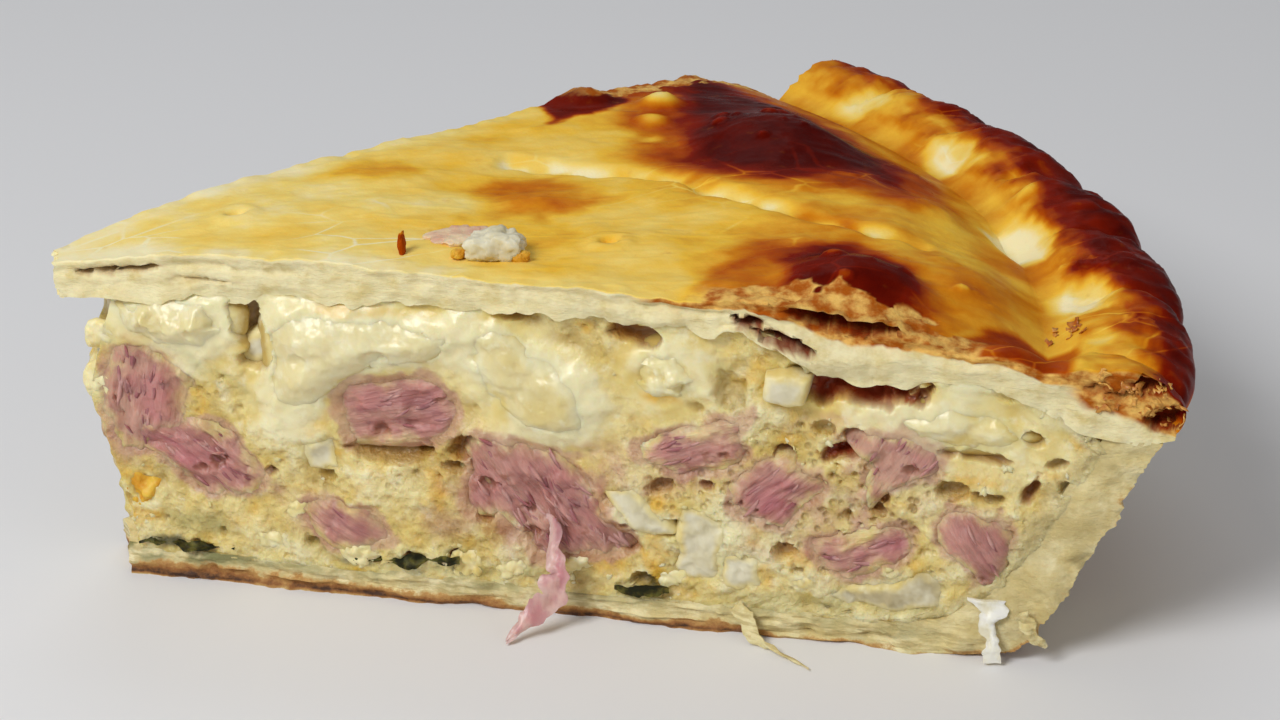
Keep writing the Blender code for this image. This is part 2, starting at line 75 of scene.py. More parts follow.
camera.data.sensor_width = FILM_WIDTH
camera.data.lens = CAMERA_LENS
camera.data.clip_start = 0.01
bpy.context.scene.camera = camera

# name, place and size in metres, power in watts
for name, place, size, watts in (
    ("key_lamp", (-0.50, -0.34, 0.58), 0.32, 4.6),
    ("fill_lamp", (0.45, -0.70, 0.35), 0.60, 0.7),
    ("back_lamp", (0.10, 0.60, 0.75), 0.45, 0.9),
):
    lamp = bpy.data.objects.new(name, bpy.data.lights.new(name, "AREA"))
    lamp.data.size = size
    lamp.data.energy = watts
    lamp.location = place
    lamp.rotation_euler = (Vector(place) - CAMERA_TARGET).to_track_quat("Z", "Y").to_euler()
    bpy.context.scene.collection.objects.link(lamp)
sky = bpy.data.worlds.new("sky")
sky.use_nodes = True
sky_light = sky.node_tree.nodes["Background"]
sky_light.inputs["Color"].default_value = (0.95, 0.97, 1.0, 1)
sky_light.inputs["Strength"].default_value = 0.26
bpy.context.scene.world = sky
bpy.context.scene.view_settings.view_transform = "Standard"

# BOTTOM CRUST
# One bent sheet of short pastry: a floor that took colour from the tin, and a wall that leans outwards.
# Its cuts are torn in thin layers. It lies on the table on its floor.

# Lengths are in mm and angles from the slice's middle line. Radii start at the whole tart's centre,
# which lies at TART_CENTRE along x. BLUNT_TIP is half the width of the slice's tip.
MM = 0.001
TART_CENTRE = -65.1
HALF_DEGREES = 26.4
HALF_ANGLE = math.radians(HALF_DEGREES)
BLUNT_TIP = 1.0
# The near and the far cut, as the side that each lies on, and how far across the slice a cut begins.
NEAR, FAR = -1, 1
ON_A_CUT = 0.999
SHARP_FROM = math.radians(62)


def wedge_points(radius, across, height, out=0.0):
    """Points in metres from mm in the slice: across runs from -1 on the near cut to 1 on the far one."""
    angle = across * HALF_ANGLE
    side = np.where(across >= 0, 1.0, -1.0)
    x = TART_CENTRE + radius * np.cos(angle) - np.sin(angle) * side * out
    y = radius * np.sin(angle) + across * BLUNT_TIP + np.cos(angle) * side * out
    return np.stack(np.broadcast_arrays(x, y, height), axis=-1) * MM


def lattice_value(i, j, k, seed):
    mixed = (i * 73856093) ^ (j * 19349663) ^ (k * 83492791) ^ (seed * 2654435761 % 4294967291)
    mixed = ((mixed ^ (mixed >> 13)) * 1274126177) & 0xFFFFFFFF
    mixed = ((mixed ^ (mixed >> 15)) * 668265263) & 0xFFFFFFFF
    return ((mixed >> 8) & 0xFFFF) / 65535.0


def softness(x, y, z=0.0, seed=1):
    """Smooth noise from -1 to 1 with lumps about as wide as 1."""
    x, y, z = np.broadcast_arrays(np.asarray(x, float), y, z)
    corner = [np.floor(axis).astype(np.int64) for axis in (x, y, z)]
    fraction = [axis - low for axis, low in zip((x, y, z), corner)]
    fade = [f * f * f * (f * (f * 6 - 15) + 10) for f in fraction]
    total = np.zeros(x.shape)
    for a in (0, 1):
        for b in (0, 1):
            for c in (0, 1):
                weight = (fade[0] if a else 1 - fade[0]) * (fade[1] if b else 1 - fade[1])
                weight = weight * (fade[2] if c else 1 - fade[2])
                total += weight * lattice_value(corner[0] + a, corner[1] + b, corner[2] + c, seed)
    return total * 2 - 1


def crumble(x, y, z=0.0, octaves=4, seed=1):
    """Noise with finer and finer lumps on it."""
    total, weight = 0.0, 1.0
    for octave in range(octaves):
        total = (
            total
            + weight * softness(
                x * 2.03**octave, y * 2.03**octave, np.asarray(z) * 2.03**octave, seed + octave
            )
        )
        weight *= 0.52
    return total


def step_up(low, high, value):
    t = np.clip((value - low) / (high - low), 0, 1)
    return t * t * (3 - 2 * t)


def block_skin(steps_along, steps_across, steps_up, thin_below=0, thin_above=0):
    """The outside of a block of cells: the shares of its points, and its faces, turned outwards.

    thin_below and thin_above widen the cells of a hidden underside or top by that factor."""
    counts = (steps_along, steps_across, steps_up)
    index = np.full([c + 1 for c in counts], -1, np.int64)
    shell = np.zeros(index.shape, bool)
    shell[[0, -1]] = shell[:, [0, -1]] = shell[:, :, [0, -1]] = True
    index[shell] = np.arange(shell.sum())
    shares = np.argwhere(shell) / np.array(counts)
    faces = []
    for grid, turned, factor in (
        (index[:, :, -1], False, thin_above),
        (index[:, :, 0], True, thin_below),
        (index[-1], False, 0),
        (index[0], True, 0),
        (index[:, -1].T, False, 0),
        (index[:, 0].T, True, 0),
    ):
        if factor:
            a, b = np.indices(grid.shape)
            inner = (a >= 2) & (b >= 2) & (a < grid.shape[0] - 2) & (b < grid.shape[1] - 2)
            snap_a = np.clip(a // factor * factor, 2, grid.shape[0] - 3)
            snap_b = np.clip(b // factor * factor, 2, grid.shape[1] - 3)
            grid = np.where(inner, grid[snap_a, snap_b], grid)
        quads = np.stack([grid[:-1, :-1], grid[1:, :-1], grid[1:, 1:], grid[:-1, 1:]], -1).reshape(-1, 4)
        faces.append(quads[:, ::-1] if turned else quads)
    return shares, np.concatenate(faces)


def clean_faces(quads):
    """Quads and triangles from quads of which some corners are the same."""
    same = np.stack([quads[:, i] == quads[:, (i + 1) % 4] for i in range(4)], -1)
    crossed = (quads[:, 0] == quads[:, 2]) | (quads[:, 1] == quads[:, 3])
    whole = quads[~same.any(1) & ~crossed].tolist()
    for quad in quads[(same.sum(1) == 1) & ~crossed].tolist():
        whole.append([corner for i, corner in enumerate(quad) if corner != quad[(i + 1) % 4]])
    return whole


def food_piece(name, points, quads, material, marks=()):
    """A closed, smooth mesh object with its faces turned outwards. Marks are its named point values."""
    first, second, third = (points[quads[:, i]] for i in (0, 1, 2))
    fourth = points[quads[:, 3]]
    volume = (
        np.einsum("ij,ij->", first, np.cross(second, third))
        + np.einsum("ij,ij->", first, np.cross(third, fourth))
    )
    faces = clean_faces(quads if volume > 0 else quads[:, ::-1])
    used = np.unique(np.concatenate([np.asarray(face) for face in faces]))
    renumber = np.zeros(len(points), np.int64)
    renumber[used] = np.arange(len(used))
    mesh = bpy.data.meshes.new(name)
    mesh.from_pydata(points[used].tolist(), [], [renumber[face].tolist() for face in faces])
    mesh.shade_smooth()
    mesh.set_sharp_from_angle(angle=SHARP_FROM)
    for mark, values in dict(marks).items():
        layer = mesh.attributes.new(mark, "FLOAT", "POINT")
        layer.data.foreach_set("value", np.broadcast_to(values, len(points))[used].astype(np.float32))
    mesh.materials.append(material)
    piece = bpy.data.objects.new(name, mesh)
    bpy.context.scene.collection.objects.link(piece)
    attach(piece, "root")
    return piece


class Signal:
    """A shader socket that Python's operators work on, and the one way to add any other node."""

    def __init__(self, tree, socket=None):
        self.tree = tree
        self.socket = socket

    def node(self, kind, settings=None, sockets=None, output=0):
        made = self.tree.nodes.new(kind)
        for key, value in (settings or {}).items():
            if key == "stops":
                while len(made.color_ramp.elements) < len(value):
                    made.color_ramp.elements.new(0.5)
                for element, (place, colour) in zip(made.color_ramp.elements, value):
                    element.position = place
                    element.color = colour
            else:
                setattr(made, key, value)
        for key, value in (sockets or {}).items():
            if isinstance(value, Signal):
                self.tree.links.new(value.socket, made.inputs[key])
            else:
                made.inputs[key].default_value = value
        return Signal(self.tree, made.outputs[output])

    def math(self, operation, first, second=0.0, clamp=False):
        return self.node(
            "ShaderNodeMath", {"operation": operation, "use_clamp": clamp}, {0: first, 1: second}
        )

    def __add__(self, other):
        return self.math("ADD", self, other)

    def __radd__(self, other):
        return self.math("ADD", other, self)

    def __sub__(self, other):
        return self.math("SUBTRACT", self, other)

    def __rsub__(self, other):
        return self.math("SUBTRACT", other, self)

    def __mul__(self, other):
        return self.math("MULTIPLY", self, other)

    def __rmul__(self, other):
        return self.math("MULTIPLY", other, self)

    def kept(self):
        """The value held between 0 and 1."""
        return self.math("ADD", self, 0.0, clamp=True)

    def between(self, low, high, first=0.0, last=1.0):
        """The value carried from low..high to first..last, smoothly, and held there."""
        return self.node(
            "ShaderNodeMapRange",
            {"interpolation_type": "SMOOTHSTEP"},
            {"Value": self, "From Min": low, "From Max": high, "To Min": first, "To Max": last},
        )

    def blend(self, first, second, share):
        """Two colours mixed by a share."""
        return self.node("ShaderNodeMix", {"data_type": "RGBA"}, {0: share, 6: first, 7: second}, output=2)

    def towards(self, other, share):
        """This colour mixed towards another by a share."""
        return self.blend(self, other, share)

    def mark(self, name, output=2):
        """A point value of the mesh, or with output 1 a point vector."""
        return self.node(
            "ShaderNodeAttribute", {"attribute_type": "GEOMETRY", "attribute_name": name}, output=output
        )

    def place(self, scale=(1, 1, 1), turn=(0, 0, 0)):
        """Object coordinates, turned and then stretched."""
        here = self.node("ShaderNodeTexCoord", output=3)
        return self.node(
            "ShaderNodeMapping", {"vector_type": "POINT"}, {"Vector": here, "Rotation": turn, "Scale": scale}
        )

    def noise(self, vector, scale, detail=4.0, roughness=0.55, distortion=0.0):
        return self.node(
            "ShaderNodeTexNoise",
            {},
            {
                "Vector": vector, "Scale": scale, "Detail": detail, "Roughness": roughness,
                "Distortion": distortion
            },
        )

    def cells(self, vector, scale):
        return self.node("ShaderNodeTexVoronoi", {}, {"Vector": vector, "Scale": scale})

    def bump(self, height, strength, distance):
        return self.node("ShaderNodeBump", {}, {
            "Height": height, "Strength": strength, "Distance": distance
        })


def shade(red, green, blue):
    """A paint-box colour, 0 to 255 a part, as the shader's linear one."""
    parts = [part / 255 for part in (red, green, blue)]
    return tuple(p / 12.92 if p <= 0.04045 else ((p + 0.055) / 1.055) ** 2.4 for p in parts) + (1.0,)


def food_finish(
    name, colour, roughness, bumps, subsurface=0.0, radius=(0.002, 0.001, 0.0006), coat=0.0, gloss=0.4
):
    """A Principled material. Colour, roughness, bumps and coat may be functions that are given its tree."""
    made = bpy.data.materials.new(name)
    made.use_nodes = True
    tree = made.node_tree
    shader = tree.nodes["Principled BSDF"]
    start = Signal(tree)
    for socket, source in (
        ("Base Color", colour), ("Roughness", roughness), ("Normal", bumps), ("Coat Weight", coat),
    ):
        value = source(start) if callable(source) else source
        if isinstance(value, Signal):
            tree.links.new(value.socket, shader.inputs[socket])
        elif value is not None:
            shader.inputs[socket].default_value = value
    for socket, value in (
        ("Subsurface Weight", subsurface), ("Subsurface Radius", radius), ("Subsurface Scale", 1.0),
        ("Specular IOR Level", gloss), ("Coat Roughness", 0.25),
    ):
        shader.inputs[socket].default_value = value
    return made


def dough(start):
    """Pale inner pastry, the same in the wall, the floor and the lid."""
    grain = start.noise(start.place(), 430, 5, 0.6)
    clouds = start.noise(start.place(), 130, 3)
    colour = start.blend(shade(238, 226, 180), shade(212, 192, 132), grain.between(0.34, 0.68))
    return colour.towards(shade(226, 206, 140), clouds.between(0.4, 0.65) * 0.5)


def shaded_wall_dough(start):
    """The same pastry with painted shade on the wall, darker in patches."""
    return dough(start).towards(
        shade(186, 166, 108), start.noise(start.place(), 210, 4, 0.6).between(0.3, 0.7) * 0.7 + 0.1
    )


def bottom_colour(start):
    browned = start.mark("browned") + (start.noise(start.place((1, 1, 1.5)), 520, 5, 0.7) - 0.5) * 1.3
    layers = start.noise(start.place((1, 1, 6)), 300, 3)
    flat = 1 - start.mark("wall")
    colour = dough(start).towards(shade(184, 164, 108), layers.between(0.42, 0.66) * flat * 0.8)
    # Painted shade over the wall.
    colour = colour.towards(shaded_wall_dough(start), start.mark("wall").kept())
    leafy = start.mark("leafy") * start.noise(start.place((1, 1, 2)), 230, 4).between(0.38, 0.6)
    colour = colour.towards(shade(132, 130, 82), (leafy * 0.6).kept())
    baked = start.node(
        "ShaderNodeValToRGB",
        {
            "stops": (
                (0.0, shade(218, 190, 130)), (0.35, shade(190, 146, 82)), (0.7, shade(146, 94, 42)),
                (1.0, shade(70, 40, 18))
            )
        },
        {"Fac": browned},
    )
    return colour.towards(baked, browned.between(0.1, 0.4))


def bottom_bumps(start):
    grain = start.noise(start.place((1, 1, 1.6)), 800, 5, 0.65)
    felt = start.noise(start.place((1, 1, 1)), 260, 4, 0.6, 0.8)
    return start.bump(grain + felt * 0.8, 0.55, 0.0007)


bottom_finish = food_finish("baked_bottom_crust", bottom_colour, 0.62, bottom_bumps, 0.12)

# The wall's cut runs on into the custard's without a step, and the custard swells over the melted cheese.
# So the outlines of the cheese and the shape of the torn cut come here.


def torn_outline(along, up, length, height, tilt, seed):
    """An uneven outline round a place on a cut, for the pieces that the near view doesn't show."""
    points = []
    for i in range(11):
        turn = 2 * math.pi * i / 11
        reach = 1 + 0.22 * float(softness(i * 0.9, seed * 3.3, 0, 41))
        x = length / 2 * reach * math.copysign(abs(math.cos(turn)) ** 0.75, math.cos(turn))
        y = height / 2 * reach * math.copysign(abs(math.sin(turn)) ** 0.75, math.sin(turn))
        lean = math.radians(tilt)
        points.append(
            (along + x * math.cos(lean) - y * math.sin(lean), up + x * math.sin(lean) + y * math.cos(lean))
        )
    return tuple(points)


# name of the node, cut, outline in mm from the tart's centre and above the table, proudness in mm
cheese_pieces = (
    ("cheese_near_1", NEAR, (
        (25.2, 33.2), (27.3, 36.2), (31.4, 36.8), (36.4, 36.4), (41.8, 35.7), (48.3, 36), (49, 33.3),
        (46.7, 30.9), (43.4, 30.2), (37.2, 28.9), (33.4, 26.7), (31.4, 24.2), (28.3, 22.7), (25.3, 22.8),
        (24.4, 25.8), (25.2, 29.4)
    ), 1.7),
    ("cheese_near_2", NEAR, (
        (7.1, 35), (12.5, 36.2), (19.4, 36.2), (21.4, 34.4), (21, 32.1), (17.6, 29.9), (11.9, 30.2),
        (7.5, 30.9)
    ), 1.2),
    ("cheese_near_3", NEAR, (
        (49.2, 35.7), (52.7, 36.6), (55.1, 35.2), (58.8, 32.6), (62.8, 30.3), (64.3, 26.5), (63.3, 23.1),
        (60.1, 22.3), (57, 22.8), (53.3, 24.5), (50.5, 27.5), (48.7, 31)
    ), 1.5),
    ("cheese_near_4", NEAR, (
        (68.4, 32.8), (72, 34.4), (76, 33.9), (76.2, 30.9), (73.9, 28.4), (70.4, 28), (68.2, 29.8)
    ), 0.9),
    ("cheese_near_5", NEAR, (
        (98, 28.8), (104, 30.6), (110, 29.8), (113.4, 27.4), (110, 25.4), (104.5, 25.6), (99.5, 26.4)
    ), 0.9),
    ("cheese_far_1", FAR, torn_outline(50, 30, 14, 9.6, 0, 16), 1.4),
    ("cheese_far_2", FAR, torn_outline(103.6, 27.6, 12.6, 4.4, -6, 17), 0.9),
)


def line_distance(x, y, corners):
    """Distance in mm from a line through some corners on a plane."""
    nearest = np.full(np.shape(x), 1e9)
    for (ax, ay), (bx, by) in zip(corners, corners[1:]):
        share = np.clip(
            ((x - ax) * (bx - ax) + (y - ay) * (by - ay)) / ((bx - ax) ** 2 + (by - ay) ** 2), 0, 1
        )
        nearest = np.minimum(nearest, np.hypot(x - ax - share * (bx - ax), y - ay - share * (by - ay)))
    return nearest


def outline_reach(x, y, outline):
    """Distance in mm from an outline on a cut, above 0 inside it."""
    inner = np.zeros(np.shape(x), bool)
    for (ax, ay), (bx, by) in zip(outline, outline[1:] + outline[:1]):
        crosses = (ay > y) != (by > y)
        inner ^= crosses & (x < (bx - ax) * (y - ay) / np.where(by == ay, 1e-9, by - ay) + ax)
    nearest = line_distance(x, y, outline + outline[:1])
    return np.where(inner, nearest, -nearest)


def squares_near(x, y, width):
    """The numbers of the nine squares round each place, for what lies scattered one to a square."""
    column, row = np.floor(x / width).astype(np.int64), np.floor(y / width).astype(np.int64)
    for a in (-1, 0, 1):
        for b in (-1, 0, 1):
            yield column + a, row + b


def bubbles(x, y, width, seed, share=1.0):
    """Depth of round pits scattered over a cut, about one to each square of that width."""
    depth = np.zeros(np.shape(x))
    for i, j in squares_near(x, y, width):
        middle_x = (i + 0.15 + 0.7 * lattice_value(i, j, i * 0, seed)) * width
        middle_y = (j + 0.15 + 0.7 * lattice_value(i, j, i * 0 + 1, seed)) * width
        reach = width * (0.12 + 0.36 * lattice_value(i, j, i * 0 + 2, seed) ** 2)
        there = lattice_value(i, j, i * 0 + 3, seed) < share
        away = np.hypot(x - middle_x, (y - middle_y) * 1.25)
        depth = np.maximum(depth, np.where(there, np.sqrt(np.maximum(reach**2 - away**2, 0)), 0))
    return depth


def curds(x, y, width, seed):
    """Rounded lumps pressed together, 1 at their tops and 0 in the seams."""
    near, next_near = np.full(np.shape(x), 9.0), np.full(np.shape(x), 9.0)
    for i, j in squares_near(x, y, width):
        middle_x = (i + lattice_value(i, j, i * 0, seed)) * width
        middle_y = (j + lattice_value(i, j, i * 0 + 1, seed)) * width
        away = np.hypot(x - middle_x, y - middle_y) / width
        next_near = np.where(away < near, near, np.minimum(next_near, away))
        near = np.minimum(near, away)
    return np.clip((next_near - near) * 1.8, 0, 1)


def cheese_swell(reach, proud):
    """How far a cheese lump bulges out of the cut, from its distance inside the outline."""
    return (proud * 1.25 + 0.3) * step_up(-2.6, 3.8, reach) - 0.3


def smoothness_of(side, x, y):
    """1 where melted cheese has run over the custard, 0 where it is crumbly."""
    smooth = np.zeros(np.shape(x))
    for _, cut, outline, _ in cheese_pieces:
        if cut == side:
            smooth = np.maximum(smooth, step_up(-5.5, 0.0, outline_reach(x, y, outline)))
    if side == NEAR:
        run = ((88, 30.5), (100, 31), (106, 33.5), (116, 29), (116, 25), (106, 27), (98, 27.5), (89, 28))
        smooth = np.maximum(smooth, step_up(-2.5, 1.0, outline_reach(x, y, run)))
    return smooth


def cut_relief(side, x, y):
    """How far the torn cut stands out in mm before its holes, how smooth it is, and how its lines wander."""
    smooth = smoothness_of(side, x, y)
    warp = crumble(x / 2.2, y / 2.2, side * 9.0, 3, 51)
    out = -0.3 + 0.6 * crumble(x / 9, y / 7, side * 5.0, 2, 52)
    out = out + 0.30 * crumble(x / 3.1, y / 2.5, side * 6.0, 3, 50)
    wobble_x, wobble_y = x + warp * 0.9, y + crumble(x / 2, y / 2, side * 3.0, 2, 53) * 0.9
    curdled = 0.26 * curds(wobble_x, wobble_y, 4.2, 54) + 0.14 * curds(wobble_x, wobble_y, 1.7, 55) - 0.2
    out = out + curdled * (1 - 0.85 * smooth)
    out = out * (1 - step_up(112, 119, x) * 0.5)
    for _, cut, outline, proud in cheese_pieces:
        if cut == side:
            out = out + cheese_swell(outline_reach(x, y, outline), proud) + 0.3
    return out, smooth, warp


def distance_along(points):
    """How far each of some points lies along the line through them."""
    return np.concatenate([[0], np.cumsum(np.hypot(*np.diff(points, axis=0).T))])


def smoothed(values, reach):
    """The same row of values with its corners rounded over that many places."""
    weights = np.hanning(2 * reach + 1)
    before, after = 2 * values[0] - values[reach:0:-1], 2 * values[-1] - values[-2 : -reach - 2 : -1]
    return np.convolve(np.concatenate([before, values, after]), weights / weights.sum(), "valid")


def dough_relief(side, x, y):
    """How far torn pastry stands out of a cut, in mm."""
    rough = 0.2 * crumble(x / 1.4, y / 1.4, side, 4, 26) + 0.35 * crumble(x / 5, y / 5, side, 2, 27)
    return rough - 0.5 * bubbles(x, y, 3.1, 29, 0.3)


# The floor and the wall in section, as distance from the centre and height in mm, outside and inside.
outside = np.array((
    (6.5, 0), (35, 0), (70, 0), (104, 0), (110.2, 0.6), (113.8, 2.6), (117.2, 7.6), (120.4, 14.5),
    (124.2, 23), (127.2, 28.4),
))
inside = np.array((
    (6.0, 3.6), (35, 3.4), (70, 3.3), (99.0, 3.4), (104.5, 4.6), (108.6, 8), (111.0, 10.9), (113.8, 15),
    (117.6, 23), (120.8, 28.4),
))
FLOOR_END = 99
FLOOR_CELLS = 0.52
run = distance_along(outside)
even = np.linspace(0, run[-1], 700)
bent = [smoothed(np.interp(even, run, column), 14) for column in (*outside.T, *inside.T)]
shares, quads = block_skin(340, 84, 10, thin_above=6)
along = np.interp(shares[:, 0], (0, FLOOR_CELLS, 1), (0, FLOOR_END, run[-1]))
across, depth = shares[:, 1] * 2 - 1, shares[:, 2]
outer_r, outer_z, inner_r, inner_z = (np.interp(along, even, column) for column in bent)
from_cut = (1 - np.abs(across)) * HALF_ANGLE * np.maximum(outer_r, 1)
side = np.where(across >= 0, 7.0, 0.0)
ragged = crumble(along / 3.4, side, 0, 3, 21) * 0.45 + crumble(along / 0.6, side, 0, 4, 22) * 0.2
ragged = ragged * (1 - step_up(0, 2.2, from_cut)) * step_up(100, 108, along)
skin_dents = crumble(along / 5, across * 30, 0, 3, 23) * 0.22 * step_up(102, 112, along)
wall_x, wall_z = inner_r - outer_r, inner_z - outer_z
thickness = np.hypot(wall_x, wall_z)
moved = ((ragged + skin_dents) * (1 - depth)) / thickness
radius = outer_r + wall_x * (depth + moved)
height = np.maximum(outer_z + wall_z * (depth + moved), 0.0)
on_cut = np.abs(across) > ON_A_CUT
on_wall = step_up(100, 112, along)
on_face_r, on_face_z = outer_r + wall_x * depth, outer_z + wall_z * depth

# Its cuts: thin layers in the floor, torn dough in the wall, which joins the custard without a step.
sheets = crumble(along / 7, depth * thickness / 0.45, side, 3, 25) * 0.34 * (1 - on_wall)
joined = on_wall * step_up(0.45, 1.0, depth)
layer = sheets + dough_relief(side, on_face_r, on_face_z) * (1 - joined)
for cut in (NEAR, FAR):
    layer = layer + np.where(across * cut > 0, cut_relief(cut, on_face_r, on_face_z)[0] * joined, 0)
lip = -0.3 * step_up(0.8, 1.0, depth) * (1 - on_wall)
lip = lip - 0.22 * step_up(2.6, 0.0, (1 - depth) * thickness) * on_wall
lip = lip + 0.35 * np.maximum(0, softness(along / 4.5, side, 0, 28)) * (1 - depth)
out = np.where(on_cut, layer + lip, 0.0)
outer_rows = (~on_cut) & ((depth < 0.01) | (depth > 0.99))
out = np.where(outer_rows, (layer + lip) * (1 - step_up(0, 1.6, from_cut)), out)

# Its colours: the underside in patches, a brown line that fades upwards, and green where leaves lie on it.
baked_depth = 1.3 + 0.8 * step_up(44, 10, along) - 0.7 * step_up(60, 98, along)
baked_depth = baked_depth + 0.6 * softness(along / 4, side, 0, 30)
browned = 1.1 - depth * thickness / baked_depth
browned = browned * (0.95 + 0.35 * softness(along / 9, across * 14, 0, 31))
underneath = 0.52 + 0.28 * crumble(along / 12, across * 9, 0, 3, 33) - 0.22 * step_up(104, 112, along)
browned = np.where(depth < 0.02, underneath, np.where(along > 104, browned * 0.4 - 0.05, browned))
leafy = 0.8 * step_up(20, 8, along) + step_up(0.45, 0.85, depth) * (1 - step_up(52, 78, along))
leafy = leafy + 0.6 * step_up(0.3, 0.6, depth) * step_up(70, 84, along) * (1 - step_up(96, 104, along))
leafy = leafy + 0.5 * step_up(0.55, 0.8, depth) * np.exp(-(((along - 74) / 9) ** 2))
bottom_crust = food_piece(
    "bottom_crust_detail",
    wedge_points(radius, across, height, out),
    quads,
    bottom_finish,
    {"browned": np.clip(browned, 0, 1), "leafy": leafy * on_cut, "wall": on_wall},
)
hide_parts("bottom_crust")

# CUSTARD
# Egg, milk and grated cheese, set soft and full of small bubbles. The knife tore it into curds, and left
# hollows where a bubble or a piece of ham was. It runs through the slice from cut to cut.

# Each ham and egg piece is an outline on its cut, in mm from the tart's centre and above the table.
# name of the node, cut, outline, proudness, direction of the grain in degrees, how pale, how torn
ham_pieces = (
    ("ham_near_1", NEAR, (
        (33.6, 27.6), (36.7, 27.9), (41.2, 28.5), (45.1, 27.7), (47.9, 24.5), (46.7, 21.7), (44.1, 19.7),
        (39.7, 19.5), (34.5, 19), (33.4, 24)
    ), 0.3, 12, 0.12, 0.5),
    ("ham_near_2", NEAR, (
        (6.1, 28.9), (10, 29.6), (13.7, 28), (16.2, 26.3), (14.8, 23), (13.8, 19.8), (9, 17), (6.2, 15.9),
        (4.5, 18.1), (4.7, 22.9)
    ), 0.7, 80, 0.62, 0.7),
    ("ham_near_3", NEAR, (
        (7.6, 19.2), (10.8, 20.3), (16.9, 20.5), (19.8, 18.8), (22.7, 16.3), (24, 14.1), (22.8, 12),
        (18.9, 11.2), (15.1, 11.4), (13.7, 13.5), (11.2, 15.6), (7.8, 16.9)
    ), 0.9, -35, 0.05, 1.0),
    ("ham_near_4", NEAR, (
        (27.6, 10.8), (30.7, 11.9), (34.1, 11.9), (36.7, 11), (39.1, 7.6), (36.1, 6.1), (31.9, 5.7),
        (29.7, 7.4)
    ), 0.8, -30, 0.1, 0.7),
    ("ham_near_5", NEAR, (
        (50.7, 22.5), (53.8, 21.8), (57, 21.5), (61, 20.8), (63.2, 18.4), (64.7, 15.8), (65.6, 13.2),
        (68.3, 10.7), (68.1, 9), (65.6, 8), (60.8, 7.2), (56.6, 7.1), (54.4, 9.3), (52.2, 11.1),
        (48.4, 11.4), (47.5, 14.8), (48.7, 19.7)
    ), 0.5, -52, 0.2, 1.3),
    ("ham_near_6", NEAR, (
        (68.3, 22.5), (71.1, 23.8), (75.1, 24.8), (78.8, 26.8), (82.1, 27.5), (80.9, 24.7), (81.4, 21.8),
        (78.8, 19.9), (75.7, 19.6), (72.3, 19.2), (69.5, 20.3)
    ), 0.7, 18, 0.18, 0.8),
    ("ham_near_7", NEAR, (
        (80, 19.7), (83.7, 22.3), (85.8, 22.2), (87.9, 21.1), (90.7, 20.4), (90.4, 18.7), (88, 16.8),
        (85.9, 13.5), (81.9, 15.2), (79.4, 16.3)
    ), 0.7, 40, 0.2, 0.8),
    ("ham_near_8", NEAR, (
        (91.7, 25.1), (95, 26.9), (99.1, 27.6), (101.6, 26.9), (103.3, 25), (103.4, 22.5), (100.7, 21.1),
        (97.1, 19.5), (95.2, 16.2), (93.8, 15.1), (94.8, 19.9), (94.8, 23.2)
    ), 0.4, 60, 0.6, 0.5),
    ("ham_near_9", NEAR, (
        (88.5, 12.4), (93, 13.8), (96.1, 15), (99.1, 15.1), (100.7, 13), (99.5, 11.4), (97.3, 10.2),
        (95.3, 8.7), (92.5, 8.3), (89.6, 9.4)
    ), 1.0, 18, 0.12, 0.8),
    ("ham_near_10", NEAR, (
        (102.8, 16), (104.6, 17.8), (107.1, 18.2), (109.6, 17.1), (111.4, 15.4), (110.9, 12.9), (109.9, 9.7),
        (108, 8.8), (107.1, 10.9), (105.1, 12.3), (103.1, 13.6)
    ), 0.8, -55, 0.16, 0.4),
    ("ham_far_1", FAR, torn_outline(17, 21, 13, 9.4, 12, 1), 0.8, 30, 0.2, 0.8),
    ("ham_far_2", FAR, torn_outline(34, 28.6, 14.5, 8.8, -10, 2), 0.7, -15, 0.1, 0.7),
    ("ham_far_3", FAR, torn_outline(49, 12.6, 16.5, 11, 18, 3), 0.9, 40, 0.15, 1.1),
    ("ham_far_4", FAR, torn_outline(67, 23, 14.5, 8.4, -14, 4), 0.8, -20, 0.3, 0.8),
    ("ham_far_5", FAR, torn_outline(82.5, 12, 14.5, 9.4, 8, 5), 0.9, 15, 0.12, 0.9),
    ("ham_far_6", FAR, torn_outline(99, 20.6, 13, 8.8, -6, 6), 0.8, -40, 0.4, 0.6),
)
